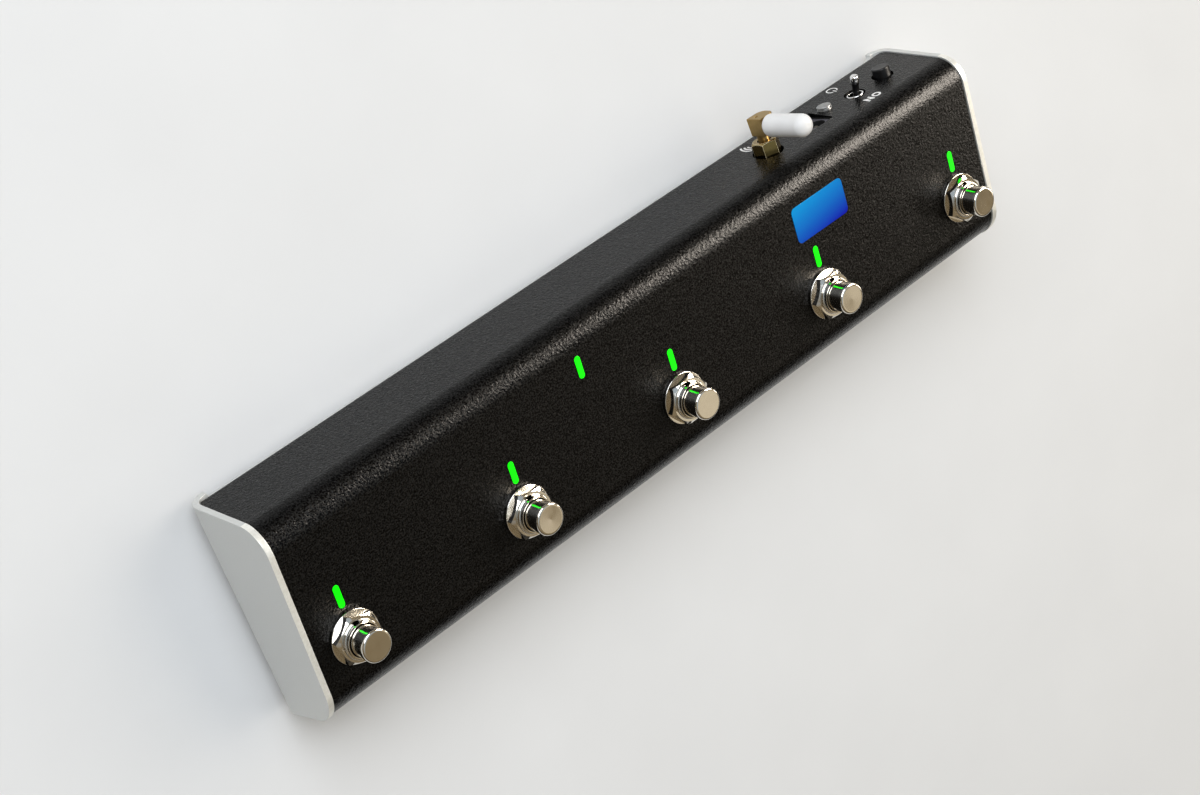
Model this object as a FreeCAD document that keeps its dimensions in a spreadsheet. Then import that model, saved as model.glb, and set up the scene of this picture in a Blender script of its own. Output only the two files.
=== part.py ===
import FreeCAD, Part
import math
import os
import re

import Sketcher

# Foot controller with five press switches in a folded, sloping metal cover on a U shaped base.
# Millimetres and degrees. +X runs along the row of switches, +Y to the rear wall with the
# connectors, +Z up. The origin is on the floor under the middle of the base.
# Panel places are given as "along" (up the slope from the row of switches to the rear) and
# "above" (square to the panel).

DOC = FreeCAD.newDocument("FootController")
SHEET = DOC.addObject("Spreadsheet::Sheet", "Sizes")

SIZES = {
    # housing
    "overall_length": 296,
    "base_sheet": 2,
    "cover_sheet": 1.6,
    "base_bend": 4,
    "end_gap": 0.3,
    "flange_reveal": 0.4,
    "rim_edge": 0.35,
    "panel_slope": 6.3,
    "front_lean": 5.2,
    "panel_height": 34.9,
    "row_setback": 12.7,
    "rear_reach": 44,
    "front_reach": 19.9,
    "rear_round": 8.5,
    "front_round": 11,
    "return_width": 9,
    "return_round": 0.5,
    "return_bend": 2,
    # feet
    "foot_height": 3,
    "foot_diameter": 14,
    "foot_inset_x": 18,
    "foot_inset_y": 10,
    # press switches
    "end_switch_inset": 15.4,
    "bushing_diameter": 12,
    "bushing_step": 10.9,
    "bushing_shoulder": 3.9,
    "bushing_top": 4.9,
    "keyway_width": 1.9,
    "keyway_depth": 0.85,
    "thread_fit": 0.05,
    "panel_hole_fit": 0.2,
    "washer_diameter": 16.4,
    "washer_thickness": 0.8,
    "nut_width": 14,
    "nut_height": 2.6,
    "nut_chamfer": 0.55,
    "chamfer_rise": 1.5,
    "cap_diameter": 10,
    "cap_top": 11.1,
    "plunger_fit": 0.06,
    "plunger_travel": 2.2,
    "travel_spare": 0.5,
    "case_width": 16,
    "case_height": 14,
    "case_corner": 1,
    "lug_width": 3,
    "lug_thickness": 0.8,
    "lug_length": 4,
    "lug_spacing": 7,
    "lug_corner": 0.9,
    # light windows
    "window_along": 13.4,
    "window_length": 7.4,
    "window_width": 2.1,
    "window_corner": 0.7,
    "window_fit": 0.1,
    "pipe_shoulder": 1.2,
    "pipe_shoulder_height": 1.4,
    "status_x": -32.9,
    "status_setback": 14.2,
    "light_chip_length": 3.2,
    "light_chip_width": 1.6,
    "light_chip_height": 0.9,
    "light_chip_gap": 0.2,
    # boards
    "board_thickness": 1.6,
    "light_board_depth": 8,
    "light_board_near": 9.6,
    "light_board_setback": 9,
    "light_board_end_gap": 9,
    "board_corner": 1.5,
    "spacer_width": 5,
    "spacer_setback": 25,
    "board_drop": 20.9,
    "main_board_inset": 7,
    "board_past_antenna": 14.5,
    "main_board_front": -1,
    "main_board_wall_gap": 1,
    "main_board_hole_inset": 5,
    "main_board_rear_inset": 12,
    "module_past_antenna": 10,
    "module_y": 7.5,
    "module_length": 16,
    "module_width": 12,
    "module_height": 3.2,
    "module_corner": 0.6,
    "chip_width": 7,
    "chip_height": 1.2,
    "chip_edge": 0.2,
    "chip_y": 6,
    "chip_inset": 18,
    "chip_pitch": 13,
    "header_board_inset": 7,
    "header_setback": 22,
    "header_length": 11,
    "header_width": 4,
    "header_height": 3.4,
    "ribbon_width": 9,
    "ribbon_thickness": 0.9,
    # battery
    "battery_x": -12,
    "battery_y": 11.5,
    "battery_length": 104,
    "battery_width": 22,
    "battery_height": 9,
    "battery_corner": 1.6,
    "pad_thickness": 0.8,
    "pad_margin": 4,
    # antenna
    "antenna_inset": 73.5,
    "axis_height": 6.5,
    "antenna_hole": 10.2,
    "socket_width": 6.4,
    "socket_depth": 8,
    "socket_setback": 12,
    "socket_thread": 6.2,
    "socket_thread_end": 1.5,
    "coupling_width": 8,
    "coupling_start": 3.6,
    "coupling_end": 4.3,
    "coupling_collar": 1.4,
    "coupling_chamfer": 0.4,
    "coupling_turn": 36,
    "elbow_reach": 9.3,
    "elbow_depth": 6,
    "elbow_left": 2.2,
    "elbow_right": 4.4,
    "elbow_below": 2.4,
    "elbow_above": 4.2,
    "elbow_corner": 2.4,
    "elbow_neck": 3.8,
    "elbow_neck_fit": 0.08,
    "sleeve_diameter": 7.4,
    "sleeve_length": 18.7,
    "sleeve_tip": 1.9,
    # power inlet
    "jack_inset": 52.1,
    "jack_width": 9,
    "jack_depth": 14,
    "jack_height": 11,
    "jack_bore": 6.3,
    "jack_bore_depth": 9.5,
    "jack_bore_height": 7,
    "jack_recess": 0.3,
    "jack_wall_fit": 0.2,
    "jack_pin": 2,
    "jack_pin_short": 0.8,
    "jack_corner": 0.4,
    # power light
    "lamp_inset": 43.1,
    "lamp_height": 3.3,
    "lamp_diameter": 5.2,
    "lamp_out": 1.3,
    "lamp_length": 9,
    "lamp_fit": 0.1,
    "lamp_edge": 0.45,
    "lamp_chip_width": 4,
    "lamp_chip_depth": 2,
    # power toggle
    "toggle_inset": 31.6,
    "toggle_hole": 7.2,
    "toggle_bushing_outer": 6,
    "toggle_bushing_bore": 4.7,
    "toggle_bushing_back": 6,
    "toggle_bushing_inset": 0.1,
    "toggle_body_width": 7,
    "toggle_body_depth": 9,
    "toggle_body_above": 4,
    "toggle_pivot_depth": 3,
    "toggle_ball": 3.6,
    "toggle_ball_rise": 1.2,
    "toggle_shaft": 2.3,
    "toggle_tip": 2.8,
    "toggle_length": 10,
    "toggle_tip_length": 2.8,
    "toggle_throw": 15,
    # function button
    "button_inset": 17.7,
    "button_hole": 7.4,
    "button_diameter": 6,
    "button_out": 3,
    "button_inside": 4.6,
    "button_edge": 0.4,
    "button_travel": 0.35,
    "tact_gap": 0.15,
    "tact_width": 6.4,
    "tact_depth": 4.5,
    "tact_height": 9.8,
}

NUT_TURNS = (11, 20, 38, 27, 50)
SWITCH_STEPS = (-2, -1, 0, 1, 2)

# how near an edge lies to the place by which it is found
NEAR = 0.01

for row, (alias, value) in enumerate(SIZES.items(), 1):
    SHEET.set(f"A{row}", alias)
    SHEET.set(f"B{row}", str(value))
    SHEET.setAlias(f"B{row}", alias)
DOC.recompute()

NODES = {}


def bound(text):
    """An expression in which every size's name is read from the sheet."""
    return re.sub(
        r"[a-z][a-z_]*",
        lambda word: f"Sizes.{word[0]}" if word[0] in SIZES else word[0],
        str(text),
    )


def number(text):
    """The present value of an expression."""
    return float(SHEET.evalExpression(bound(text)))


def placing(x, y, z, turn=0):
    """A placement expression: a point, and a turn about X."""
    return bound(
        f"create(<<placement>>; create(<<vector>>; {x}; {y}; {z}); "
        f"create(<<rotation>>; create(<<vector>>; 1; 0; 0); {turn}))"
    )


# Places on the sloping panel and on the walls

def panel_y(along, above):
    return f"(-row_setback + ({along}) * cos(panel_slope) - ({above}) * sin(panel_slope))"


def panel_z(along, above):
    return f"(panel_height + ({along}) * sin(panel_slope) + ({above}) * cos(panel_slope))"


def on_panel(x, along, above):
    return placing(x, panel_y(along, above), panel_z(along, above), "panel_slope")


def from_end(inset):
    """X of a place measured in from the right end of the housing."""
    return f"(overall_length / 2 - ({inset}))"


def rear_wall_y(height, inward=0):
    """Y of the rear wall's outer face, or of a face further in, at a height above the floor."""
    reach = f"(rear_reach - ({inward}))"
    above = f"((({height}) - panel_height - {reach} * sin(panel_slope)) / cos(panel_slope))"
    return panel_y(reach, above)


def wedge(grow, bottom):
    """The housing's four corners in the YZ plane, grown outward, cut level at the bottom."""
    lean = "(front_lean + panel_slope)"
    front = f"(front_reach + ({grow}) / cos({lean}))"
    rear = f"(rear_reach + ({grow}))"
    front_above = (
        f"((({bottom}) - panel_height + {front} * sin(panel_slope))"
        f" / (cos(panel_slope) + tan({lean}) * sin(panel_slope)))"
    )
    rear_above = f"((({bottom}) - panel_height - {rear} * sin(panel_slope)) / cos(panel_slope))"
    corners = (
        (rear, rear_above),
        (rear, grow),
        (f"(-{front} + ({grow}) * tan({lean}))", grow),
        (f"(-{front} + {front_above} * tan({lean}))", front_above),
    )
    return [(panel_y(*corner), panel_z(*corner)) for corner in corners]


BASE_TOP = "(foot_height + base_sheet)"
BOARD_TOP = "(panel_height - board_drop)"
AXIS_Z = f"({BOARD_TOP} + axis_height)"
COVER_HALF = "(overall_length / 2 - base_sheet - end_gap)"
BOARD_FAR_INSET = "(antenna_inset + board_past_antenna)"
SWITCH_PITCH = "((overall_length / 2 - end_switch_inset) / 2)"


# Building blocks for the bodies

def body(name, place=None, node=True):
    made = DOC.addObject("PartDesign::Body", name)
    made.AllowCompound = True
    if place:
        made.setExpression("Placement", place)
    if node:
        NODES[name] = made
    return made


def sketch(owner, role, offset=None):
    """An empty sketch on one of the body's origin planes, moved within it by an offset."""
    made = owner.newObject("Sketcher::SketchObject", f"{owner.Name}_sketch")
    plane = [item for item in owner.Origin.OriginFeatures if item.Role == role][0]
    made.AttachmentSupport = (plane, "")
    made.MapMode = "FlatFace"
    if offset:
        made.setExpression("AttachmentOffset", offset)
    return made


def hold(drawn, kind, *where):
    """A dimension of a sketch, bound to the sheet; the last item is its expression."""
    index = drawn.addConstraint(Sketcher.Constraint(kind, *where[:-1], number(where[-1])))
    drawn.setExpression(f"Constraints[{index}]", bound(where[-1]))


def outline(owner, role, points, offset=None):
    """A closed outline of straight lines, each corner dimensioned from the sketch's origin."""
    drawn = sketch(owner, role, offset)
    add_outline(drawn, points)
    return drawn


def add_outline(drawn, points):
    first = drawn.GeometryCount
    corners = [FreeCAD.Vector(number(x), number(y), 0) for x, y in points]
    count = len(corners)
    for i in range(count):
        drawn.addGeometry(Part.LineSegment(corners[i], corners[(i + 1) % count]))
    for i in range(count):
        drawn.addConstraint(Sketcher.Constraint("Coincident", first + i, 2, first + (i + 1) % count, 1))
    for i, (x, y) in enumerate(points):
        hold(drawn, "DistanceX", -1, 1, first + i, 1, x)
        hold(drawn, "DistanceY", -1, 1, first + i, 1, y)


def rectangle(x, y, width, height):
    """Corners of a rectangle about a centre."""
    return [
        (f"({x}) - ({width}) / 2", f"({y}) - ({height}) / 2"),
        (f"({x}) + ({width}) / 2", f"({y}) - ({height}) / 2"),
        (f"({x}) + ({width}) / 2", f"({y}) + ({height}) / 2"),
        (f"({x}) - ({width}) / 2", f"({y}) + ({height}) / 2"),
    ]


def hexagon(across_flats):
    """Corners of a hexagon about the origin."""
    corner = f"({across_flats}) / 2 / cos(30)"
    return [(f"{corner} * cos({60 * i})", f"{corner} * sin({60 * i})") for i in range(6)]


def cut_corners(width, height, corner):
    """Corners of a rectangle about the origin, each cut off at 45 degrees."""
    right = f"({width}) / 2"
    top = f"({height}) / 2"
    near_right = f"({right} - ({corner}))"
    near_top = f"({top} - ({corner}))"
    return [
        (f"-{near_right}", f"-{top}"),
        (near_right, f"-{top}"),
        (right, f"-{near_top}"),
        (right, near_top),
        (near_right, top),
        (f"-{near_right}", top),
        (f"-{right}", near_top),
        (f"-{right}", f"-{near_top}"),
    ]


def moved(points, x, y):
    return [(f"{px} + ({x})", f"{py} + ({y})") for px, py in points]


def circles(owner, role, rounds, offset=None):
    """Circles given as (x, y, diameter)."""
    drawn = sketch(owner, role, offset)
    for x, y, diameter in rounds:
        centre = FreeCAD.Vector(number(x), number(y), 0)
        drawn.addGeometry(Part.Circle(centre, FreeCAD.Vector(0, 0, 1), number(diameter) / 2))
        index = drawn.GeometryCount - 1
        hold(drawn, "DistanceX", -1, 1, index, 3, x)
        hold(drawn, "DistanceY", -1, 1, index, 3, y)
        hold(drawn, "Diameter", index, diameter)
    return drawn


def pad(drawn, length, symmetric=False, reverse=False):
    owner = drawn.getParentGeoFeatureGroup()
    made = owner.newObject("PartDesign::Pad", f"{owner.Name}_pad")
    made.Profile = drawn
    made.setExpression("Length", bound(length))
    made.SideType = "Symmetric" if symmetric else "One side"
    made.Reversed = reverse
    return made


def pocket(drawn, length=None, symmetric=False, reverse=False):
    """A cut of the given depth, or through everything on its side."""
    owner = drawn.getParentGeoFeatureGroup()
    made = owner.newObject("PartDesign::Pocket", f"{owner.Name}_pocket")
    made.Profile = drawn
    if length is None:
        made.Type = "ThroughAll"
    else:
        made.setExpression("Length", bound(length))
    made.SideType = "Symmetric" if symmetric else "One side"
    made.Reversed = reverse
    return made


def spin(owner, points, offset=None):
    """A turned solid: an outline of (radius, height) turned about the body's Z axis."""
    drawn = outline(owner, "XZ_Plane", points, offset)
    made = owner.newObject("PartDesign::Revolution", f"{owner.Name}_revolution")
    made.Profile = drawn
    made.ReferenceAxis = (drawn, ["V_Axis"])
    made.Angle = 360
    return made


def chosen_edges(feature, test):
    DOC.recompute()
    return [f"Edge{i}" for i, edge in enumerate(feature.Shape.Edges, 1) if test(edge)]


def soften(feature, radius, test, kind="Fillet"):
    """A fillet or chamfer on the edges that pass the test."""
    owner = feature.getParentGeoFeatureGroup()
    made = owner.newObject(f"PartDesign::{kind}", f"{owner.Name}_{kind.lower()}")
    made.Base = (feature, chosen_edges(feature, test))
    made.setExpression("Radius" if kind == "Fillet" else "Size", bound(radius))
    return made


def runs_along(edge, axis):
    """Whether an edge is a straight line along an axis."""
    box = edge.BoundBox
    spans = {"x": box.XLength, "y": box.YLength, "z": box.ZLength}
    along = spans.pop(axis)
    return along > NEAR and max(spans.values()) < NEAR


def passes(edge, y=None, z=None, x=None, near=0.2):
    """Whether an edge's middle lies at the given coordinates."""
    middle = edge.CenterOfMass
    given = ((x, middle.x), (y, middle.y), (z, middle.z))
    return all(wanted is None or abs(number(wanted) - found) < near for wanted, found in given)


def group(name, members):
    """Several like pieces as one node."""
    made = DOC.addObject("Part::Compound", name)
    made.Links = members
    NODES[name] = made
    return made


# Housing

def standoff_places():
    left = from_end(f"({BOARD_FAR_INSET} - main_board_hole_inset)")
    right = from_end("(main_board_inset + main_board_hole_inset)")
    front = "(main_board_front + main_board_hole_inset)"
    rear = f"({rear_wall_y(BOARD_TOP, 'cover_sheet')} - main_board_rear_inset)"
    return [(left, front), (right, front), (left, rear), (right, rear)]


def base_chassis():
    """One folded sheet: a floor with two upturned ends that follow the cover's outline."""
    made = body("base_chassis")
    profile = wedge("flange_reveal", "foot_height")
    block = pad(outline(made, "YZ_Plane", profile), "overall_length", symmetric=True)
    rear = soften(block, "rear_round + flange_reveal", lambda e: passes(e, *profile[1]))
    front = soften(rear, "front_round + flange_reveal", lambda e: passes(e, *profile[2]))
    bends = soften(
        front,
        "base_bend + base_sheet",
        lambda e: runs_along(e, "y") and passes(e, z="foot_height", near=NEAR),
    )
    inside = [
        ("-(overall_length / 2 - base_sheet)", BASE_TOP),
        ("(overall_length / 2 - base_sheet)", BASE_TOP),
        ("(overall_length / 2 - base_sheet)", "panel_height * 2"),
        ("-(overall_length / 2 - base_sheet)", "panel_height * 2"),
    ]
    hollow = pocket(outline(made, "XZ_Plane", inside), symmetric=True)
    folded = soften(
        hollow,
        "base_bend",
        lambda e: runs_along(e, "y") and passes(e, z=BASE_TOP, near=NEAR),
    )
    outer_x = number("overall_length / 2")
    above_bend = number("foot_height + base_sheet + base_bend + rim_edge")
    soften(
        folded,
        "rim_edge",
        lambda e: abs(abs(e.CenterOfMass.x) - outer_x) < NEAR
        and e.BoundBox.XLength < NEAR
        and e.BoundBox.ZMax > above_bend,
        "Chamfer",
    )


def corner_cuts(owner):
    """Two outlines that round the cover's lower ends, clear of the bends of the base."""
    drawn = sketch(owner, "XZ_Plane")
    radius = "(base_bend + end_gap)"
    for side in (-1, 1):
        end = f"({side} * {COVER_HALF})"
        past = f"({end} + {side})"
        inner_x = f"({end} - {side} * {radius})"
        top = f"({BASE_TOP} + {radius})"
        under = f"({BASE_TOP} - 1)"
        points = [(inner_x, BASE_TOP), (inner_x, under), (past, under), (past, top), (end, top)]
        corners = [FreeCAD.Vector(number(x), number(y), 0) for x, y in points]
        first = drawn.GeometryCount
        for start, stop in zip(corners, corners[1:]):
            drawn.addGeometry(Part.LineSegment(start, stop))
        centre = FreeCAD.Vector(corners[0].x, corners[4].y, 0)
        rim = Part.Circle(centre, FreeCAD.Vector(0, 0, 1), number(radius))
        turn = (1, 1.5) if side < 0 else (1.5, 2)
        drawn.addGeometry(Part.ArcOfCircle(rim, math.pi * turn[0], math.pi * turn[1]))
        for i in range(3):
            drawn.addConstraint(Sketcher.Constraint("Coincident", first + i, 2, first + i + 1, 1))
        arc = first + 4
        upper, lower = (1, 2) if side < 0 else (2, 1)
        drawn.addConstraint(Sketcher.Constraint("Coincident", first + 3, 2, arc, upper))
        drawn.addConstraint(Sketcher.Constraint("Coincident", first, 1, arc, lower))
        for i, (x, y) in enumerate(points[:4]):
            hold(drawn, "DistanceX", -1, 1, first + i, 1, x)
            hold(drawn, "DistanceY", -1, 1, first + i, 1, y)
        hold(drawn, "DistanceX", -1, 1, first + 3, 2, end)
        hold(drawn, "DistanceY", -1, 1, first + 3, 2, top)
        hold(drawn, "DistanceX", -1, 1, arc, 3, inner_x)
    return drawn


def top_cover():
    """One folded sheet over the base: rear wall, sloping panel, front wall and two returns."""
    made = body("top_cover")
    outer = wedge("0", BASE_TOP)
    inner = wedge("-cover_sheet", f"{BASE_TOP} + cover_sheet")
    pad(outline(made, "YZ_Plane", outer), f"2 * {COVER_HALF}", symmetric=True)
    hollow = pocket(outline(made, "YZ_Plane", inner), symmetric=True)
    rear_in = soften(hollow, "rear_round - cover_sheet", lambda e: passes(e, *inner[1]))
    front_in = soften(rear_in, "front_round - cover_sheet", lambda e: passes(e, *inner[2]))
    returns_in = soften(
        front_in,
        "return_round",
        lambda e: runs_along(e, "x") and (passes(e, *inner[0]) or passes(e, *inner[3])),
    )
    rear = soften(returns_in, "rear_round", lambda e: passes(e, *outer[1]))
    front = soften(rear, "front_round", lambda e: passes(e, *outer[2]))
    soften(
        front,
        "return_bend",
        lambda e: runs_along(e, "x") and passes(e, z=BASE_TOP, near=NEAR),
    )
    pocket(corner_cuts(made), symmetric=True)
    rear_edge = f"({rear_wall_y(BASE_TOP)} - cover_sheet - return_width)"
    front_edge = f"({outer[3][0]} + cover_sheet + return_width)"
    mouth = [
        ("-overall_length / 2", front_edge),
        ("overall_length / 2", front_edge),
        ("overall_length / 2", rear_edge),
        ("-overall_length / 2", rear_edge),
    ]
    pocket(outline(made, "XY_Plane", mouth), f"{BASE_TOP} + cover_sheet + 1", reverse=True)
    face = on_panel("0", "0", "0")
    holes = circles(
        made,
        "XY_Plane",
        [(f"{i} * {SWITCH_PITCH}", "0", "bushing_diameter + panel_hole_fit") for i in SWITCH_STEPS],
        face,
    )
    pocket(holes, "cover_sheet * 2")
    windows = sketch(made, "XY_Plane", face)
    for x, along in light_places():
        add_outline(windows, moved(window_outline("window_fit"), x, along))
    pocket(windows, "cover_sheet * 2")
    rear_holes = circles(
        made,
        "XZ_Plane",
        [
            (from_end("antenna_inset"), AXIS_Z, "antenna_hole"),
            (from_end("lamp_inset"), f"{BOARD_TOP} + lamp_height", "lamp_diameter + 2 * lamp_fit"),
            (from_end("toggle_inset"), AXIS_Z, "toggle_hole"),
            (from_end("button_inset"), AXIS_Z, "button_hole"),
        ],
    )
    add_outline(
        rear_holes,
        rectangle(
            from_end("jack_inset"),
            f"{BOARD_TOP} + jack_height / 2",
            "jack_width + 2 * jack_wall_fit",
            "jack_height + 2 * jack_wall_fit",
        ),
    )
    pocket(rear_holes)


def feet():
    """Four stick-on feet."""
    rear_foot = f"({rear_wall_y('foot_height')} - foot_inset_y)"
    front_foot = f"({wedge('0', 'foot_height')[3][0]} + foot_inset_y)"
    made = []
    for side in ("-1", "1"):
        for y in (rear_foot, front_foot):
            place = placing(f"{side} * (overall_length / 2 - foot_inset_x)", y, "0")
            foot = body(f"foot_{len(made) + 1}", place, False)
            spin(
                foot,
                [
                    ("0", "0"),
                    ("foot_diameter / 2", "0"),
                    ("foot_diameter / 2", "foot_height"),
                    ("0", "foot_height"),
                ],
            )
            made.append(foot)
    group("rubber_feet", made)


# Press switches

def plunger(name, place):
    """The pressed cap and its shank, which ends above the case by its travel and a spare."""
    made = body(name, place)
    bottom = "plunger_travel + travel_spare - cover_sheet"
    spin(
        made,
        [
            ("0", bottom),
            ("cap_diameter / 2", bottom),
            ("cap_diameter / 2", "cap_top"),
            ("0", "cap_top"),
        ],
    )


def bushing(name, place):
    """The stepped barrel, with its keyway toward the light window."""
    made = body(name, place, False)
    bore = "cap_diameter / 2 + plunger_fit"
    spin(
        made,
        [
            (bore, "-cover_sheet"),
            ("bushing_diameter / 2", "-cover_sheet"),
            ("bushing_diameter / 2", "bushing_shoulder"),
            ("bushing_step / 2", "bushing_shoulder"),
            ("bushing_step / 2", "bushing_top"),
            (bore, "bushing_top"),
        ],
    )
    key = rectangle("0", "bushing_diameter / 2", "keyway_width", "2 * keyway_depth")
    top = placing("0", "0", "bushing_shoulder")
    pocket(outline(made, "XY_Plane", key, top), "bushing_shoulder + cover_sheet")
    return made


def washer(name, place):
    made = body(name, place, False)
    bore = "bushing_diameter / 2 + thread_fit"
    spin(
        made,
        [
            (bore, "0"),
            ("washer_diameter / 2", "0"),
            ("washer_diameter / 2", "washer_thickness"),
            (bore, "washer_thickness"),
        ],
    )
    return made


def nut_corners(owner, across, height, chamfer):
    """Take off a nut's six corners at its far face."""
    drawn = sketch(owner, "XZ_Plane")
    corner = f"({across}) / 2 / cos(30)"
    flat = f"({corner} - 2 * {chamfer})"
    out = f"({corner} + {chamfer})"
    drop = f"({height}) - chamfer_rise * {chamfer}"
    above = f"({height}) + {chamfer}"
    add_outline(drawn, [(flat, height), (out, drop), (out, above), (flat, above)])
    first = pocket(drawn, f"8 * {chamfer}", symmetric=True)
    around = owner.newObject("PartDesign::PolarPattern", f"{owner.Name}_corners")
    around.Originals = [first]
    around.Axis = (owner.Origin.OriginFeatures[2], [""])
    around.Angle = 360
    around.Occurrences = 6
    owner.Tip = around


def hex_nut(name, place):
    made = body(name, place, False)
    pad(outline(made, "XY_Plane", hexagon("nut_width")), "nut_height")
    nut_corners(made, "nut_width", "nut_height", "nut_chamfer")
    bore = circles(made, "XY_Plane", [("0", "0", "bushing_diameter + 2 * thread_fit")])
    pocket(bore, "nut_height", reverse=True)
    return made


def turned_place(place, turn):
    """A placement turned about its own Z axis."""
    spun = "create(<<rotation>>; create(<<vector>>; 0; 0; 1); {turn})".format(turn=bound(turn))
    return f"{place} * create(<<placement>>; create(<<vector>>; 0; 0; 0); {spun})"


def switch_case(name, place):
    """The square case, seated on the underside of the panel."""
    made = body(name, place, False)
    square = cut_corners("case_width", "case_width", "case_corner")
    pad(outline(made, "XY_Plane", square), "case_height", reverse=True)
    return made


def solder_lug(name, place):
    """A flat tab with its lower corners cut off."""
    made = body(name, place, False)
    half = "lug_width / 2"
    blade = [
        (f"-{half}", "0"),
        (f"-{half}", "lug_corner - lug_length"),
        (f"lug_corner - {half}", "-lug_length"),
        (f"{half} - lug_corner", "-lug_length"),
        (half, "lug_corner - lug_length"),
        (half, "0"),
    ]
    pad(outline(made, "YZ_Plane", blade), "lug_thickness", symmetric=True)
    return made


def press_switches():
    made = {"bushings": [], "washers": [], "nuts": [], "bodies": [], "lugs": []}
    for count, (step, turn) in enumerate(zip(SWITCH_STEPS, NUT_TURNS), 1):
        x = f"{step} * {SWITCH_PITCH}"
        face = on_panel(x, "0", "0")
        plunger(f"plunger_{count}", face)
        made["bushings"].append(bushing(f"bushing_{count}", face))
        made["washers"].append(washer(f"washer_{count}", face))
        seat = turned_place(on_panel(x, "0", "washer_thickness"), turn)
        made["nuts"].append(hex_nut(f"nut_{count}", seat))
        made["bodies"].append(switch_case(f"case_{count}", on_panel(x, "0", "-cover_sheet")))
        for side in ("-1", "1"):
            across = f"{x} + {side} * lug_spacing / 2"
            under = on_panel(across, "0", "-cover_sheet - case_height")
            made["lugs"].append(solder_lug(f"lug_{len(made['lugs']) + 1}", under))
    for kind, members in made.items():
        group(f"switch_{kind}", members)


# Lights

def light_places():
    """Centres of the five windows behind the switches and of the status window."""
    row = [(f"{step} * {SWITCH_PITCH}", "window_along") for step in SWITCH_STEPS]
    return row + [("status_x", "rear_reach - status_setback")]


def window_outline(grow):
    """The outline of a light window, grown on every side."""
    across = f"window_width + 2 * ({grow})"
    along = f"window_length + 2 * ({grow})"
    return cut_corners(across, along, "window_corner")


def lights():
    pipes = []
    chips = []
    for i, (x, along) in enumerate(light_places(), 1):
        own_node = i == len(light_places())
        name = "status_light_pipe" if own_node else f"light_pipe_{i}"
        pipe = body(name, on_panel(x, along, "0"), own_node)
        length = "light_board_depth - light_chip_height - light_chip_gap"
        pad(outline(pipe, "XY_Plane", window_outline("0")), length, reverse=True)
        under_panel = placing("0", "0", "-cover_sheet")
        shoulder = outline(pipe, "XY_Plane", window_outline("pipe_shoulder"), under_panel)
        pad(shoulder, "pipe_shoulder_height", reverse=True)
        if not own_node:
            pipes.append(pipe)
        chip = body(f"light_chip_{i}", on_panel(x, along, "-light_board_depth"), False)
        face = rectangle("0", "0", "light_chip_width", "light_chip_length")
        pad(outline(chip, "XY_Plane", face), "light_chip_height")
        chips.append(chip)
    group("light_pipes", pipes)
    group("light_chips", chips)


# Boards

def light_board():
    """The narrow board under the panel, hung on spacers behind the switches."""
    made = body("light_board", on_panel("0", "0", "-light_board_depth"))
    length = f"2 * ({COVER_HALF} - light_board_end_gap)"
    far = "(rear_reach - light_board_setback)"
    width = f"({far} - light_board_near)"
    middle = f"({far} + light_board_near) / 2"
    plate = moved(cut_corners(length, width, "board_corner"), "0", middle)
    pad(outline(made, "XY_Plane", plate), "board_thickness", reverse=True)
    spacers = []
    for i, x in enumerate(spacer_columns(), 1):
        place = on_panel(x, "rear_reach - spacer_setback", "-light_board_depth")
        spacer = body(f"spacer_{i}", place, False)
        pad(outline(spacer, "XY_Plane", hexagon("spacer_width")), "light_board_depth - cover_sheet")
        spacers.append(spacer)
    group("light_board_spacers", spacers)


def spacer_columns():
    """Half way between neighbouring switches."""
    return [f"{i} * {SWITCH_PITCH} / 2" for i in (-3, -1, 1, 3)]


def main_board():
    """The level board behind the rear wall, on four standoffs, with its parts."""
    made = body("main_board", placing("0", "0", BOARD_TOP))
    rear = f"({rear_wall_y(BOARD_TOP, 'cover_sheet')} - main_board_wall_gap)"
    width = f"({rear} - main_board_front)"
    length = f"({BOARD_FAR_INSET} - main_board_inset)"
    centre_x = from_end(f"({BOARD_FAR_INSET} + main_board_inset) / 2")
    plate = cut_corners(length, width, "board_corner")
    pad(
        outline(made, "XY_Plane", moved(plate, centre_x, f"({rear} + main_board_front) / 2")),
        "board_thickness",
        reverse=True,
    )

    standoffs = []
    height = f"{BOARD_TOP} - board_thickness - {BASE_TOP}"
    for i, (x, y) in enumerate(standoff_places(), 1):
        post = body(f"standoff_{i}", placing(x, y, BASE_TOP), False)
        pad(outline(post, "XY_Plane", hexagon("spacer_width")), height)
        standoffs.append(post)
    group("main_board_standoffs", standoffs)

    module_x = from_end("antenna_inset - module_past_antenna")
    module = body("wireless_module", placing(module_x, "module_y", BOARD_TOP))
    can = cut_corners("module_width", "module_length", "module_corner")
    pad(outline(module, "XY_Plane", can), "module_height")

    chips = []
    for i in range(3):
        place = placing(from_end(f"(chip_inset + {i} * chip_pitch)"), "chip_y", BOARD_TOP)
        chip = body(f"chip_{i + 1}", place, False)
        square = rectangle("0", "0", "chip_width", "chip_width")
        top = pad(outline(chip, "XY_Plane", square), "chip_height")
        soften(top, "chip_edge", lambda e: passes(e, z="chip_height", near=NEAR), "Chamfer")
        chips.append(chip)
    group("board_chips", chips)


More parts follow.
